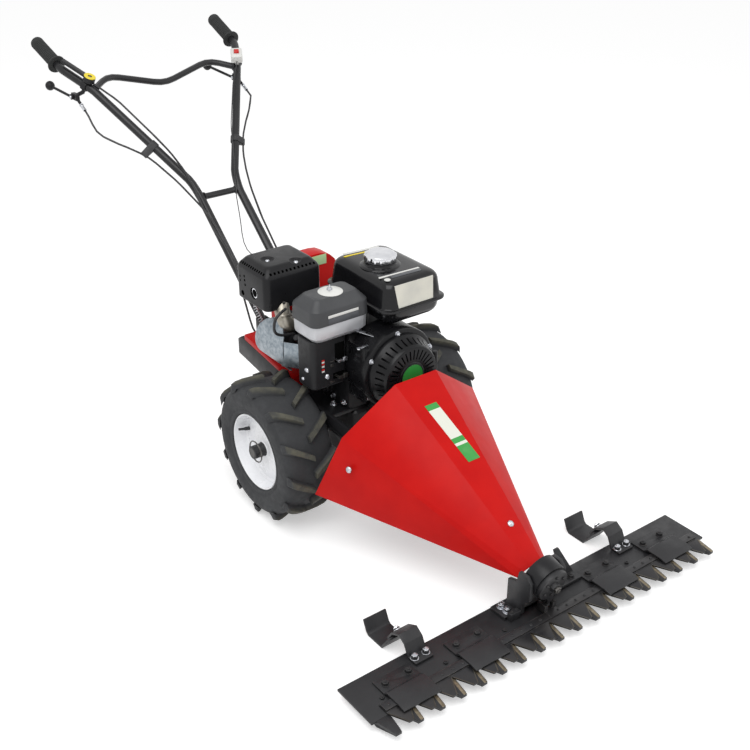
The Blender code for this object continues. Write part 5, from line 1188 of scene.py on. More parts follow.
@dataclass
class Engine(Assembly):
    """The engine's castings, cowl and starter.

    Attributes:
        crank: x and height of the crankshaft.
        shroud: the fan shroud's radius.
        slots: the air slots of the starter cover.
    """

    title: str = "engine"
    crank: tuple[float, float] = (0.012, 0.3615)
    shroud: float = 0.094
    slots: int = 32

    def cowl(self) -> None:
        """Build the round fan shroud with its rolled rim and the side that covers the cylinder."""
        x, z = self.crank
        profile = [(0.065, -0.171), (0.0875, -0.171), (0.0905, -0.1704), (0.093, -0.1686),
                (self.shroud, -0.166), (self.shroud, -0.155), (self.shroud - 0.0012, -0.1538),
                (self.shroud - 0.0012, -0.1003), (0.09, -0.1003), (0.09, -0.166), (0.065, -0.168)]
        drum = Shop.lathe(at(x, 0, z), (0, 1, 0), profile, 72, closed=True)
        side = Shop.block(at((x - 0.0735) / 2, -0.1297, 0.3625), (x + 0.0735, 0.0588, 0.125), 0.006,
                segments=3)
        core = Shop.disc(at(x, 0, z), (0, 1, 0), 0.0905, -0.2, -0.09, 48)
        Shop.cut(side, core)
        lip = Shop.block(at(-0.0715, -0.13, 0.3625), (0.003, 0.06, 0.129), 0.001)
        obj = Shop.join([drum, side, lip], "cowl")
        self.keep(obj, "fan_cowl", Body.CHASSIS, Look.COWL, angle=30)
        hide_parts("fan_shroud")

    def starter(self) -> None:
        """Build the domed starter cover with its radial slots and round badge, and a near-black disc of
        painted shade behind the slots.
        """
        x, z = self.crank
        profile = [(0.083, 0.1713), (0.083, 0.1765), (0.0822, 0.1785), (0.08, 0.181), (0.076, 0.188),
                (0.0726, 0.196), (0.0706, 0.204), (0.069, 0.21), (0.0668, 0.213), (0.063, 0.214),
                (0.04, 0.2142), (0.033, 0.2142), (0.0315, 0.2156), (0.0285, 0.216), (0, 0.216),
                (0, 0.212), (0.064, 0.2115), (0.08, 0.1765), (0.08, 0.1713)]
        dome = Shop.lathe(Vector(), (0, 0, 1), profile, 96)
        tools = []
        for step in range(self.slots):
            turn = Matrix.Rotation(math.tau * (step + 0.5) / self.slots, 4, "Z")
            for place, size in (((0.0495, 0, 0.213), (0.0225, 0.0036, 0.01)),
                    ((0.0745, 0, 0.1955), (0.014, 0.0042, 0.021))):
                tools.append(Shop.block(turn @ Vector(place), size, 0.0, turn))
        Shop.cut(dome, Shop.join(tools, "slots"))
        Shop.put(dome, at(x, 0, z), Shop.turn((0, -1, 0)))
        self.keep(dome, "starter_dome", Body.CHASSIS, Look.COWL, angle=28)
        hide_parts("recoil_cover")
        ring = Shop.lathe(at(x, 0, z), (0, -1, 0), [(0.028, 0.2155), (0.03, 0.2155), (0.03, 0.217),
                (0.029, 0.2176), (0.028, 0.217)], 48, closed=True)
        self.keep(ring, "badge_ring", Body.CHASSIS, Look.COWL)
        disc = Shop.lathe(at(x, 0, z), (0, -1, 0), [(0, 0.2158), (0.0278, 0.2158), (0.0278, 0.2165),
                (0, 0.2166)], 48)
        self.keep(disc, "badge_disc", Body.CHASSIS, Look.GREEN)
        # Painted shade: a near-black disc inside the dome stands for the shade seen through its slots.
        inner = Shop.disc(at(x, 0, z), (0, -1, 0), 0.0655, 0.19, 0.2085, 48)
        self.keep(inner, "starter_shade", Body.CHASSIS, Look.VOID)

    def head(self) -> None:
        """Round the castings and set the plug, its lead and the engine's bolts."""
        Shop.dress(Shop.refine("engine_block", 0.0014), Look.CASTING)
        Shop.dress(Shop.refine("cylinder_head", 0.0007), Look.HEAD)
        plug = Shop.lathe(at(-0.125, 0.012, 0.4), (-0.62, -0.55, 0.56),
                [(0, -0.012), (0.0062, -0.012), (0.0068, -0.008), (0.0076, 0.006), (0.0082, 0.01),
                (0.0074, 0.024), (0.006, 0.029), (0, 0.03)], 20)
        self.keep(plug, "plug_boot", Body.CHASSIS, Look.PLUG)
        lead = Shop.sweep([at(-0.16, 0.006, 0.486), at(-0.179, 0, 0.4815), at(-0.1895, 0, 0.4726),
                at(-0.1944, 0, 0.4589), at(-0.1925, 0, 0.4415), at(-0.1811, 0, 0.4321),
                at(-0.1677, 0, 0.4281), at(-0.15, 0.002, 0.424), at(-0.128, 0.01, 0.406)], 0.0032, 4)
        self.keep(lead, "plug_lead", Body.CHASSIS, Look.CABLE)
        x, z = self.crank
        bolts = []
        for turn in (20, 95, 152, 235, 305):
            angle = math.radians(turn)
            spot = at(x + 0.0865 * math.cos(angle), -0.1712, z + 0.0865 * math.sin(angle))
            bolts.append(Shop.bolt(spot, (0, -1, 0), 0.0085, 0.004, Look.ZINC, 0.0058))
        bolts.append(Shop.bolt(at(-0.062, -0.1594, 0.31), (0, -1, 0), 0.0085, 0.004, Look.ZINC, 0.006))
        for y, pz in ((-0.085, 0.268), (-0.045, 0.268), (0.06, 0.268)):
            bolts.append(Shop.bolt(at(-0.0746, y, pz), (-1, 0, 0), 0.009, 0.0045, Look.ZINC, 0.007))
        filler = Shop.lathe(at(-0.074, -0.03, 0.283), (-0.94, 0, 0.34),
                [(0, -0.002), (0.013, -0.002), (0.013, 0.004), (0.0112, 0.005), (0.0112, 0.014),
                (0.0095, 0.016), (0, 0.016)], 24)
        self.keep(Shop.join(bolts, "bolts"), "engine_bolts", Body.CHASSIS)
        self.keep(filler, "oil_filler", Body.CHASSIS, Look.PLASTIC)

    def build(self) -> None:
        """Build and dress the engine."""
        self.cowl()
        self.starter()
        self.head()
        Shop.dress(Shop.refine("starter_grip", 0.0015, 3), Look.PLASTIC)
        rope = Shop.disc(at(-0.01, -0.186, 0.3615), (1, 0, 0), 0.0021, 0, 0.105, 12)
        self.keep(rope, "starter_rope", Body.STARTER, Look.CABLE)
        self.paint(Look.STEEL, "crankshaft")
        self.paint(Look.ALLOY, "flywheel")


@dataclass
class Intake(Assembly):
    """The carburettor, its cover with the two levers, and the air cleaner.

    Attributes:
        low: the cleaner's least x and y.
        high: its greatest x and y.
    """

    title: str = "intake"
    low: tuple[float, float] = (-0.17, -0.1165)
    high: tuple[float, float] = (-0.0235, -0.02)

    def cleaner(self) -> None:
        """Build the air cleaner's cover with its disc, wing nut and plain strip."""
        levels = ((0.4843, 0.0006), (0.485, 0.0), (0.515, 0.0012), (0.518, 0.002), (0.5205, 0.004),
                (0.5345, 0.017), (0.5366, 0.0186), (0.538, 0.0212))
        obj = Shop.loft(self.low, self.high, 0.02, levels, 7)
        self.keep(obj, "cleaner_lid", Body.CHASSIS, Look.CLEANER, angle=24)
        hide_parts("air_cleaner_cover")
        disc = Shop.lathe(at(-0.0975, -0.0725, 0.5376), (0, 0, 1),
                [(0, 0), (0.0265, 0), (0.0268, 0.001), (0.0258, 0.0018), (0.012, 0.003), (0, 0.003)],
                56)
        self.keep(disc, "cleaner_disc", Body.CHASSIS, Look.WHITE)
        stud = Shop.lathe(at(-0.09675, -0.06825, 0.53), (0, 0, 1),
                [(0, 0), (0.0029, 0), (0.0029, 0.018), (0.0022, 0.019), (0, 0.019)], 16)
        nut = Shop.lathe(at(-0.09675, -0.06825, 0.5402), (0, 0, 1),
                [(0.003, 0), (0.0062, 0), (0.0058, 0.003), (0.0048, 0.005), (0.003, 0.0052)], 24,
                closed=True)
        wings = []
        for side in (-1, 1):
            wing = Shop.prism([(0.004, 0.001), (0.009, 0.0014), (0.0135, 0.0036), (0.013, 0.0066),
                    (0.01, 0.0072), (0.0072, 0.0056), (0.004, 0.0044)], -0.0009, 0.0009, 0.0004)
            stand = tilt(90, "X")
            turn = Matrix.Rotation(math.radians(52) + (0 if side > 0 else math.pi), 4, "Z")
            wing.matrix_world = Matrix.Translation(at(-0.09675, -0.06825, 0.5402)) @ turn @ stand
            wings.append(Shop.settle(wing))
        self.keep(Shop.join([nut, stud] + wings, "wing"), "wing_nut", Body.CHASSIS, Look.ZINC)
        strip = Shop.block(at(-0.095, -0.1158, 0.5035), (0.077, 0.0014, 0.006), 0.0002)
        self.keep(strip, "cleaner_strip", Body.CHASSIS, Look.WHITE)
        second = Shop.block(at(-0.095, -0.116, 0.4928), (0.077, 0.0014, 0.014), 0.0002)
        self.keep(second, "cleaner_patch", Body.CHASSIS, Look.GREY)

    def base(self) -> None:
        """Round the silver base and the carburettor body, and add its strap and linkage."""
        Shop.dress(Shop.refine("carburettor", 0.0009), Look.SILVER)
        turn = tilt(6)
        link = [Shop.block(at(-0.05, -0.1424, 0.4266), (0.056, 0.0072, 0.002), 0.0006, turn),
                Shop.lathe(at(-0.077, -0.1446, 0.4256), (0, 0, 1),
                [(0.0018, 0), (0.0048, 0), (0.0048, 0.0022), (0.0018, 0.0022)], 24, closed=True),
                Shop.block(at(-0.04, -0.122, 0.4425), (0.011, 0.046, 0.0018), 0.0004,
                tilt(28) @ tilt(6, "X")),
                Shop.block(at(-0.029, -0.1425, 0.4375), (0.011, 0.0018, 0.007), 0.0004,
                tilt(28))]
        self.keep(Shop.join(link, "linkage"), "throttle_linkage", Body.CHASSIS, Look.ZINC)

    def cover(self) -> None:
        """Build the carburettor's cover with its bolts, marks and levers."""
        levels = ((0.328, 0.005), (0.33, 0.0022), (0.334, 0.0), (0.443, 0.0), (0.4445, 0.001))
        obj = Shop.loft((-0.165, -0.0995), (-0.0748, -0.037), 0.012, levels, 7)
        slots = [Shop.block(at(-0.0955, -0.0995, 0.406), (0.025, 0.007, 0.046), 0.0),
                Shop.block(at(-0.0985, -0.0995, 0.352), (0.029, 0.007, 0.015), 0.0)]
        # The walls of the slots get the near-black painted shade.
        Shop.pierce(obj, Shop.join(slots, "slots"), Look.PLASTIC, Look.VOID)
        Shop.smooth(obj, 28)
        self.keep(obj, "carburettor_box", Body.CHASSIS)
        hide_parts("carb_cover")
        bolts = [BladeDrive.screw(at(-0.1652, -0.077, 0.3735), (-1, 0, 0), 0.0064),
                BladeDrive.screw(at(-0.128, -0.0998, 0.3565), (0, -1, 0), 0.0066),
                BladeDrive.screw(at(-0.1652, -0.062, 0.347), (-1, 0, 0), 0.0046)]
        self.keep(Shop.join(bolts, "bolts"), "carburettor_screws", Body.CHASSIS)
        clip = [Shop.block(at(-0.1155, -0.0998, 0.34), (0.012, 0.0016, 0.0046), 0.0004),
                Shop.block(at(-0.116, -0.1, 0.38), (0.008, 0.0024, 0.006), 0.0006),
                Shop.block(at(-0.115, -0.1, 0.389), (0.01, 0.002, 0.0024), 0.0004)]
        self.keep(Shop.join(clip, "clip"), "cover_clips", Body.CHASSIS, Look.PIN)
        for name, heights, finish in (("lever_marks_red", (0.3975, 0.389, 0.376), Look.BUTTON),
                ("lever_marks_white", (0.3935, 0.3835, 0.3715), Look.WHITE)):
            marks = [Shop.block(at(-0.1385, -0.0996, z), (0.0066, 0.0008, 0.0036), 0.0)
                    for z in heights]
            self.keep(Shop.join(marks, "marks"), name, Body.CHASSIS, finish)
        for node, body, tint in (("choke_lever", Body.CHOKE, Look.ZINC),
                ("fuel_valve_lever", Body.FUEL_VALVE, Look.PIN)):
            low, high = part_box(node)
            tip = Vector((high.x - 0.004, low.y + 0.001, (low.z + high.z) / 2 + 0.002))
            knob = Shop.block(tip, (0.011, 0.005, 0.0105), 0.0014)
            self.keep(knob, node + "_tip", body, tint)
            Shop.dress(Shop.refine(node, 0.0006), tint)

    def build(self) -> None:
        """Build and dress the intake."""
        self.cleaner()
        self.base()
        self.cover()


@dataclass
class Exhaust(Assembly):
    """The muffler, its louvred guard, the pipe and the curved heat shield.

    Attributes:
        low: the guard's least x and y.
        high: its greatest x and y.
        louvres: slots along each of two shoulders.
    """

    title: str = "exhaust"
    low: tuple[float, float] = (-0.19, 0.0355)
    high: tuple[float, float] = (-0.045, 0.1595)
    louvres: int = 12

    def guard(self) -> None:
        """Build the pressed guard with its louvres, dimples and outlet."""
        levels = ((0.471, 0.0034), (0.4716, 0.002), (0.474, 0.0), (0.544, 0.0), (0.548, 0.001),
                (0.553, 0.0036), (0.5625, 0.0118), (0.5658, 0.015), (0.5674, 0.018), (0.568, 0.022))
        obj = Shop.loft(self.low, self.high, 0.014, levels, 6)
        lean = tilt(45, "X")
        side = tilt(-45, "Y")
        tools = []
        for k in range(self.louvres):
            share = k / (self.louvres - 1)
            x = self.low[0] + 0.018 + share * (self.high[0] - self.low[0] - 0.034)
            y = self.low[1] + 0.016 + share * (self.high[1] - self.low[1] - 0.032)
            tools.append(Shop.block(at(x, self.low[1] + 0.0056, 0.556), (0.0052, 0.006, 0.022), 0.0,
                    lean))
            tools.append(Shop.block(at(self.low[0] + 0.0056, y, 0.556), (0.006, 0.0052, 0.022), 0.0,
                    side))
        outlet = ((0.086, 0.501, 0.0135), (0.123, 0.5293, 0.0032), (0.122, 0.5198, 0.0032),
                (0.121, 0.5092, 0.0032), (0.133, 0.4864, 0.0062), (0.141, 0.524, 0.0026),
                (0.141, 0.514, 0.0026))
        for y, z, radius in outlet:
            tools.append(Shop.disc(at(self.low[0] + 0.004, y, z), (-1, 0, 0), radius, 0, 0.01, 24))
        # The walls of the louvres and outlet holes get the near-black painted shade.
        Shop.pierce(obj, Shop.join(tools, "slots"), Look.GUARD, Look.VOID)
        screws = []
        for x, y in ((-0.1473, 0.0936), (-0.1008, 0.0518)):
            bowl = Shop.lathe(at(x, y, 0.568), (0, 0, 1), [(0, -0.005), (0.0085, -0.005),
                    (0.0125, -0.0032), (0.0175, 0.001), (0, 0.001)], 40)
            Shop.cut(obj, bowl)
            screws.append(BladeDrive.screw(at(x, y, 0.5632), (0, 0, 1), 0.0052))
        Shop.smooth(obj, 26)
        self.keep(obj, "muffler_cover", Body.CHASSIS)
        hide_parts("muffler_guard")
        self.keep(Shop.join(screws, "screws"), "guard_screws", Body.CHASSIS)
        throat = Shop.lathe(at(self.low[0] + 0.0042, 0.086, 0.501), (-1, 0, 0),
                [(0.0088, -0.004), (0.0112, -0.004), (0.0112, 0.002), (0.0088, 0.002)], 32, closed=True)
        self.keep(throat, "exhaust_outlet", Body.CHASSIS, Look.CHROME)
        bolt = Shop.bolt(at(-0.1468, self.low[1] - 0.0002, 0.4863), (0, -1, 0), 0.007, 0.003, Look.PIN)
        self.keep(bolt, "guard_side_bolt", Body.CHASSIS)

    def pipe(self) -> None:
        """Build the bright pipe from the head up to the muffler, with its clamp ring."""
        route = [at(-0.1, 0.04, 0.43), at(-0.126, 0.03, 0.431), at(-0.146, 0.024, 0.44),
                at(-0.15, 0.034, 0.458), at(-0.144, 0.048, 0.476)]
        tube = Shop.sweep(route, 0.017, 8)
        ring = Shop.lathe(at(-0.15, 0.032, 0.456), (0.1, 0.45, 0.89),
                [(0.016, -0.002), (0.0198, -0.002), (0.0204, 0.0), (0.0198, 0.002), (0.016, 0.002)], 32,
                closed=True)
        self.keep(Shop.join([tube, ring], "pipe"), "exhaust_pipe", Body.CHASSIS, Look.STEEL)

    def shield(self) -> None:
        """Build the curved heat shield from a bent sheet with a rounded outline."""
        line = [(-0.1425, 0.331), (-0.156, 0.3345), (-0.164, 0.345), (-0.169, 0.36), (-0.1712, 0.378),
                (-0.1712, 0.396), (-0.1692, 0.414), (-0.165, 0.429), (-0.158, 0.44), (-0.148, 0.447)]
        obj = Shop.raw("sheet", [at(x, 0.004, z) for x, z in line],
                [(i, i + 1) for i in range(len(line) - 1)])
        reach = {"value": (0, 0.13, 0)}
        Shop.edit(obj, lambda: bpy.ops.mesh.extrude_region_move(TRANSFORM_OT_translate=reach))
        Shop.modify(obj, "SUBSURF", levels=2, render_levels=2)
        Shop.modify(obj, "SOLIDIFY", thickness=0.0016, offset=0.0)
        keep = Shop.prism([(0.007, 0.328), (0.006, 0.42), (0.02, 0.436), (0.042, 0.444), (0.064, 0.443),
                (0.084, 0.434), (0.102, 0.418), (0.115, 0.398), (0.123, 0.376), (0.126, 0.356),
                (0.123, 0.342), (0.114, 0.334), (0.09, 0.328)], -0.2, -0.1)
        Shop.put(keep, at(0, 0, 0), Matrix(((0, 0, 1, 0), (1, 0, 0, 0), (0, 1, 0, 0), (0, 0, 0, 1))))
        Shop.edit(keep, Shop.outward)
        Shop.cut(obj, keep, "INTERSECT")
        Shop.edit(obj, Shop.outward)
        wing = Shop.block(at(-0.16, -0.006, 0.379), (0.0014, 0.044, 0.06), 0.0004,
                tilt(35))
        self.keep(Shop.join([obj, wing], "sheet"), "heat_sheet", Body.CHASSIS, Look.SHIELD, angle=40)
        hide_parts("heat_shield")

    def build(self) -> None:
        """Build and dress the exhaust."""
        self.guard()
        self.pipe()
        self.shield()
        self.paint(Look.MUFFLER, "muffler_body")


@dataclass
class Tank(Assembly):
    """The pressed fuel tank with its seam, its cap and the plain strips on it.

    Attributes:
        low: the tank's least x and y at the seam.
        high: its greatest x and y there.
        cap: x and y of the cap.
        ridges: grip lobes round the cap.
    """

    title: str = "tank"
    low: tuple[float, float] = (-0.022, -0.168)
    high: tuple[float, float] = (0.15, 0.067)
    cap: tuple[float, float] = (0.048, -0.054)
    ridges: int = 12

    def shell(self) -> None:
        """Build the tank's two pressed halves, joined by the flange at the seam."""
        levels = ((0.458, 0.03), (0.4586, 0.026), (0.461, 0.0205), (0.466, 0.0155), (0.474, 0.0118),
                (0.491, 0.0092), (0.4924, 0.006), (0.4926, 0.0008), (0.4934, 0.0), (0.4966, 0.0),
                (0.4974, 0.0008), (0.498, 0.0058), (0.5, 0.0074), (0.538, 0.0118), (0.544, 0.0136),
                (0.549, 0.0168), (0.5526, 0.0212), (0.555, 0.0266), (0.5564, 0.0322), (0.557, 0.041),
                (0.5574, 0.056))
        obj = Shop.loft(self.low, self.high, 0.028, levels, 10)
        neck = Shop.lathe(at(*self.cap, 0), (0, 0, 1), [(0, 0.55), (0.0455, 0.5562), (0.044, 0.5584),
                (0.04, 0.5598), (0.0372, 0.5606), (0.0356, 0.563), (0.035, 0.5665), (0.032, 0.5676),
                (0.0, 0.5676)], 64)
        self.keep(Shop.join([obj, neck], "tank"), "tank_shell", Body.CHASSIS, Look.TANK, angle=40)
        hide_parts("fuel_tank")

    def lid(self) -> None:
        """Build the chrome cap with its lobed edge."""
        outline = []
        for k in range(self.ridges * 12):
            angle = math.tau * k / (self.ridges * 12)
            wave = math.cos(self.ridges * angle)
            reach = 0.0352 + 0.0009 * (wave if wave > -0.55 else -1.7)
            outline.append((reach * math.cos(angle), reach * math.sin(angle)))
        rim = Shop.prism(outline, 0.5675, 0.5818, 0.0016)
        rim.location = at(*self.cap, 0)
        Shop.settle(rim)
        dome = Shop.lathe(at(*self.cap, 0), (0, 0, 1), [(0, 0.577), (0.0338, 0.577), (0.033, 0.5818),
                (0.031, 0.5836), (0.028, 0.5844), (0.0266, 0.586), (0.024, 0.5867), (0, 0.5869)], 72)
        obj = Shop.join([rim, dome], "cap")
        self.keep(obj, "cap_lid", Body.CAP, Look.CHROME, angle=35)
        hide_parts("fuel_cap")

    def strips(self) -> None:
        """Lay the plain plate and the blank strips on the tank."""
        plate = Shop.prism([(0.016, 0.0), (0.1095, 0.0), (0.1125, 0.05), (0.0085, 0.051)], -0.0006,
                0.0006)
        lean = Matrix(((1, 0, 0, 0), (0, 0.114, -0.9935, 0), (0, 0.9935, 0.114, 0), (0, 0, 0, 1)))
        Shop.put(plate, at(0, -0.1608, 0.4996), lean)
        self.keep(plate, "tank_plate", Body.CHASSIS, Look.PLATE)
        paths = (("tank_strip_front", (-0.0005, -0.1138), (0.103, -0.1191), 0.0056, Look.WHITE),
                ("tank_strip_patch", (0.022, -0.1255), (0.099, -0.129), 0.0105, Look.GREY),
                ("tank_strip_rear", (0.0165, 0.0395), (0.106, 0.03), 0.0085, Look.WHITE),
                ("tank_strip_yellow", (0.009, 0.0265), (0.11, 0.0163), 0.0056, Look.YELLOW))
        for name, first, last, width, finish in paths:
            start, end = at(*first, 0.5569), at(*last, 0.5569)
            along = end - start
            turn = Matrix.Rotation(math.atan2(along.y, along.x), 4, "Z")
            strip = Shop.block((start + end) / 2, (along.length, width, 0.0014), 0.0002, turn)
            self.keep(strip, name, Body.CHASSIS, finish)
        dot = Shop.disc(at(0.0085, -0.131, 0.556), (0, 0, 1), 0.0068, 0, 0.0014, 32)
        self.keep(dot, "tank_dot", Body.CHASSIS, Look.WHITE)

    def build(self) -> None:
        """Build and dress the tank."""
        self.shell()
        self.lid()
        self.strips()


@dataclass
class Handle(Assembly):
    """The welded handle frame and its ribbed grips.

    Attributes:
        start: where the left grip's flange sits.
        end: the left grip's rear end.
        ribs: grooves round each grip.
    """

    title: str = "handle"
    start: Point = (0.2506, 0.8898, 0.8538)
    end: Point = (0.2562, 0.9943, 0.892)
    ribs: int = 15

    def grip(self, side: int) -> None:
        """Build one rubber grip with a flange, ribs and a rounded end."""
        first, last = Vector(self.start), Vector(self.end)
        length = (last - first).length
        profile = [(0.0108, 0.0), (0.0205, 0.0), (0.0224, 0.0006), (0.023, 0.002), (0.0226, 0.0034),
                (0.02, 0.0046), (0.0176, 0.0058), (0.0166, 0.008)]
        pitch = (length - 0.023) / self.ribs
        for k in range(self.ribs):
            low = 0.01 + k * pitch
            profile += [(0.0165, low), (0.0165, low + pitch * 0.52), (0.0153, low + pitch * 0.62),
                    (0.0153, low + pitch * 0.88)]
        profile += [(0.0167, length - 0.0115), (0.0167, length - 0.0045), (0.0158, length - 0.0016),
                (0.0138, length), (0.0, length), (0.0, length - 0.004), (0.0108, length - 0.004)]
        place = at(side * first.x, first.y, first.z)
        way = Vector((side * (last.x - first.x), last.y - first.y, last.z - first.z))
        name = "right" if side < 0 else "left"
        obj = Shop.lathe(place, way, profile, 40, closed=True)
        self.keep(obj, "grip_rubber_" + name, Body.CHASSIS, Look.GRIP, angle=32)
        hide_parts("grip_" + name)

    def build(self) -> None:
        """Smooth the welded frame, add its weld beads and set the grips."""
        Shop.dress(Shop.refine("handle_frame", 0.0), Look.HANDLE)
        bead = [(0.008, -0.003), (0.0112, -0.0014), (0.0106, 0.001), (0.0086, 0.003), (0.008, 0.0032)]
        beads = []
        for side in (-1, 1):
            way = Vector((-side * 0.0611, 0.0467, 0.0176)).normalized()
            for spot, axis in ((at(side * 0.0445, 0.5532, 0.5601), (-side, 0, 0)),
                    (at(side * 0.2056, 0.7874, 0.8033) + way * 0.01, way)):
                beads.append(Shop.lathe(spot, axis, bead, 24, closed=True))
        self.keep(Shop.join(beads, "welds"), "weld_beads", Body.CHASSIS, Look.HANDLE)
        self.grip(-1)
        self.grip(1)


@dataclass
class Controls(Assembly):
    """The levers, brackets, throttle and stop switch on the rear bar.

    Attributes:
        up: the right tube's upward direction, square to it.
        dial: the top of the throttle dial.
        pivots: the clutch levers' hinge places, right and left.
    """

    title: str = "controls"
    up: Point = (0.19869, -0.37011, 0.90749)
    dial: Point = (-0.20839, 0.7926, 0.837)
    pivots: tuple[Point, ...] = ((-0.245, 0.83, 0.785), (0.2, 0.8, 0.7752))

    def throttle(self) -> None:
        """Dress the black throttle lever and lay its yellow ring and screw on the dial."""
        Shop.dress(Shop.refine("throttle_lever", 0.0009), Look.PLASTIC)
        place = at(*self.dial)
        ring = Shop.lathe(place, self.up, [(0.0052, -0.001), (0.0143, -0.001), (0.0145, 0.0004),
                (0.0138, 0.0013), (0.006, 0.0013), (0.0052, 0.0007)], 48, closed=True)
        self.keep(ring, "throttle_ring", Body.THROTTLE, Look.YELLOW)
        screw = BladeDrive.screw(place + Vector(self.up) * -0.0012, self.up, 0.004)
        Shop.dress(screw, Look.PIN)
        self.keep(screw, "throttle_screw", Body.CHASSIS)

    def hinges(self) -> None:
        """Round the brackets and levers and set the hinge screws and cable adjusters."""
        for name, pivot in (("right", self.pivots[0]), ("left", self.pivots[1])):
            Shop.dress(Shop.refine("control_bracket_" + name, 0.0007), Look.PLASTIC)
            Shop.dress(Shop.refine("clutch_lever_" + name, 0.0004), Look.PLASTIC)
            x, y, z = pivot
            head = BladeDrive.screw(at(x - 0.0044, y, z), (-1, 0, 0), 0.0042)
            self.keep(head, "hinge_screw_" + name, Body.CHASSIS)
            low, high = at(x + 0.0065, y - 0.014, z - 0.004), at(x + 0.006, y - 0.055, z - 0.024)
            way = (high - low).normalized()
            length = (high - low).length
            barrel = Shop.lathe(high, way, [(0.0039, -length * 0.42), (0.0046, -length * 0.42),
                    (0.0046, -length * 0.34), (0.0042, -length * 0.32), (0.0042, -length * 0.1),
                    (0.0048, -length * 0.08), (0.0048, -0.0006), (0.004, 0.0), (0.0027, 0.0),
                    (0.0027, -0.002), (0.0039, -0.002)], 24, closed=True)
            nut = Shop.bolt(low + way * (length * 0.5), way, 0.0098, 0.003, Look.ZINC)
            Shop.dress(barrel, Look.ZINC)
            self.keep(Shop.join([barrel, nut], "adjuster"), "cable_adjuster_" + name, Body.CHASSIS)

    def build(self) -> None:
        """Build and dress the controls."""
        self.throttle()
        self.hinges()
        Shop.dress(Shop.refine("switch_box", 0.0014), Look.WHITE)
        Shop.dress(Shop.refine("stop_button", 0.0012), Look.BUTTON)


@dataclass
class Cables(Assembly):
    """The held cables, the stop wire, their ties and the tension spring."""

    title: str = "cables"
    ties: tuple[tuple[int, Point, Point], ...] = ((-1, (0.1187, 0.664, 0.6763),
            (-0.1423, 0.66, 0.6552)), (1, (0.106, 0.646, 0.6578), (0.13, 0.6465, 0.6535)))

    def build(self) -> None:
        """Smooth the cables and strap them to the tubes."""
        for node in ("clutch_cable_left", "clutch_cable_right", "throttle_cable", "stop_wire"):
            Shop.dress(Shop.refine(node, 0.0), Look.CABLE)
        Shop.dress(Shop.refine("tension_spring", 0.0), Look.SPRING)
        for side, tube, cable in self.ties:
            way = Vector((side * 0.4408, 0.6257, 0.6439))
            middle, other = at(side * tube[0], tube[1], tube[2]), at(*cable)
            other = other - way * (other - middle).dot(way)
            across = (other - middle).normalized()
            gap = (other - middle).length
            third = way.cross(across)
            turn = Matrix((across, third, way)).transposed().to_4x4()
            outline = []
            for k in range(25):
                angle = math.pi / 2 + math.pi * k / 24
                outline.append((0.0124 * math.cos(angle), 0.0124 * math.sin(angle)))
            for k in range(17):
                angle = -math.pi / 2 + math.pi * k / 16
                outline.append((gap + 0.0044 * math.cos(angle), 0.0044 * math.sin(angle)))
            strap = Shop.prism(outline, -0.009, 0.009, 0.0008)
            Shop.put(strap, middle, turn)
            self.keep(strap, "cable_tie_" + ("right" if side < 0 else "left"), Body.CHASSIS, Look.PLUG)


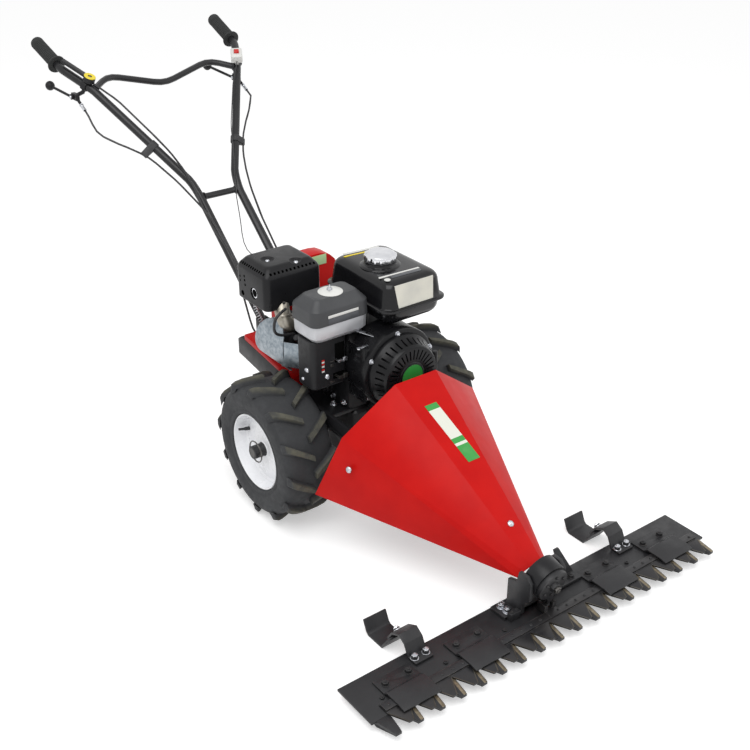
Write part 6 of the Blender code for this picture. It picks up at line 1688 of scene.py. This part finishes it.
@dataclass
class Studio:
    """The camera, the light and the white floor.

    Attributes:
        place: the camera's place.
        azimuth: how far round it stands, in degrees.
        elevation: how high it looks from, in degrees.
        lens: its focal length in millimetres.
        sky: the level of the light from all around.
        key: the power of the soft main lamp in watts.
        fill: the power of the second lamp.
    """

    place: tuple[float, float, float] = (-1.3019, -1.8305, 1.4894)
    azimuth: float = -36.935
    elevation: float = 28.391
    lens: float = 53.258
    sky: float = 0.66
    key: float = 52.0
    fill: float = 11.0

    def camera(self) -> None:
        """Set the camera."""
        data = bpy.data.cameras.new("camera")
        data.lens, data.sensor_width, data.clip_end = self.lens, 36.0, 200.0
        obj = bpy.data.objects.new("camera", data)
        bpy.context.collection.objects.link(obj)
        turn, rise = math.radians(self.azimuth), math.radians(self.elevation)
        back = Vector((math.sin(turn) * math.cos(rise), -math.cos(turn) * math.cos(rise),
                math.sin(rise)))
        right = Vector((math.cos(turn), math.sin(turn), 0.0))
        axes = Matrix((right, back.cross(right), back)).transposed().to_4x4()
        obj.matrix_world = Matrix.Translation(at(*self.place)) @ axes
        bpy.context.scene.camera = obj

    def lamp(self, name: str, place: Point, size: float, power: float) -> None:
        """Add a square soft lamp that looks at the machine."""
        data = bpy.data.lights.new(name, "AREA")
        data.shape, data.size, data.energy = "SQUARE", size, power
        obj = bpy.data.objects.new(name, data)
        bpy.context.collection.objects.link(obj)
        obj.location = at(*place)
        aim = at(0.0, 0.1, 0.4) - obj.location
        obj.rotation_euler = aim.to_track_quat("-Z", "Y").to_euler()

    @staticmethod
    def seen(nodes: Nodes) -> Socket:
        """Return 1 where a camera, mirror or glass ray looks, and 0 elsewhere."""
        path = nodes.add("ShaderNodeLightPath")
        both = nodes.math("MAXIMUM", path.outputs["Is Camera Ray"], path.outputs["Is Glossy Ray"])
        return nodes.math("MAXIMUM", both, path.outputs["Is Transmission Ray"])

    def floor(self) -> None:
        """Lay the white floor, which keeps the machine's shadow."""
        bpy.ops.mesh.primitive_plane_add(size=80.0, location=(0, 0, 0))
        obj = bpy.context.object
        obj.name = "floor"
        nodes = Nodes("studio_floor")
        nodes.shader.inputs["Base Color"].default_value = (0.82, 0.82, 0.82, 1.0)
        nodes.shader.inputs["Roughness"].default_value = 0.9
        nodes.shader.inputs["Specular IOR Level"].default_value = 0.0
        nodes.shader.inputs["Emission Color"].default_value = (1.0, 1.0, 1.0, 1.0)
        nodes.link(nodes.math("MULTIPLY", self.seen(nodes), 0.42),
                nodes.shader.inputs["Emission Strength"])
        obj.data.materials.append(nodes.material)

    def world(self) -> None:
        """Set light from all around, white where it's looked at."""
        world = bpy.data.worlds.new("studio")
        bpy.context.scene.world = world
        world.use_nodes = True
        tree = world.node_tree
        tree.nodes.clear()
        path = tree.nodes.new("ShaderNodeLightPath")
        first = tree.nodes.new("ShaderNodeMath")
        second = tree.nodes.new("ShaderNodeMath")
        first.operation = second.operation = "MAXIMUM"
        tree.links.new(path.outputs["Is Camera Ray"], first.inputs[0])
        tree.links.new(path.outputs["Is Glossy Ray"], first.inputs[1])
        tree.links.new(first.outputs[0], second.inputs[0])
        tree.links.new(path.outputs["Is Transmission Ray"], second.inputs[1])
        shades = []
        for level in (self.sky, 1.0):
            shade = tree.nodes.new("ShaderNodeBackground")
            shade.inputs["Color"].default_value = (1.0, 1.0, 1.0, 1.0)
            shade.inputs["Strength"].default_value = level
            shades.append(shade)
        mix = tree.nodes.new("ShaderNodeMixShader")
        tree.links.new(second.outputs[0], mix.inputs["Fac"])
        tree.links.new(shades[0].outputs[0], mix.inputs[1])
        tree.links.new(shades[1].outputs[0], mix.inputs[2])
        out = tree.nodes.new("ShaderNodeOutputWorld")
        tree.links.new(mix.outputs[0], out.inputs["Surface"])

    def build(self) -> None:
        """Set everything that isn't the machine."""
        bpy.context.scene.view_settings.view_transform = "Standard"
        self.camera()
        self.floor()
        self.world()
        self.lamp("key", (-1.25, -1.0, 3.0), 2.3, self.key)
        self.lamp("fill", (2.2, -1.6, 1.8), 2.0, self.fill)


def main() -> None:
    """Build every sub-assembly in order and report it."""
    logging.basicConfig(level=logging.INFO, format="%(message)s")
    for assembly in (Wheels(), Chassis(), Cutter(), BladeDrive(), Engine(), Intake(), Exhaust(), Tank(),
            Handle(), Controls(), Cables()):
        assembly.build()
        assembly.report()
    Studio().build()


if __name__ == "__main__":
    main()
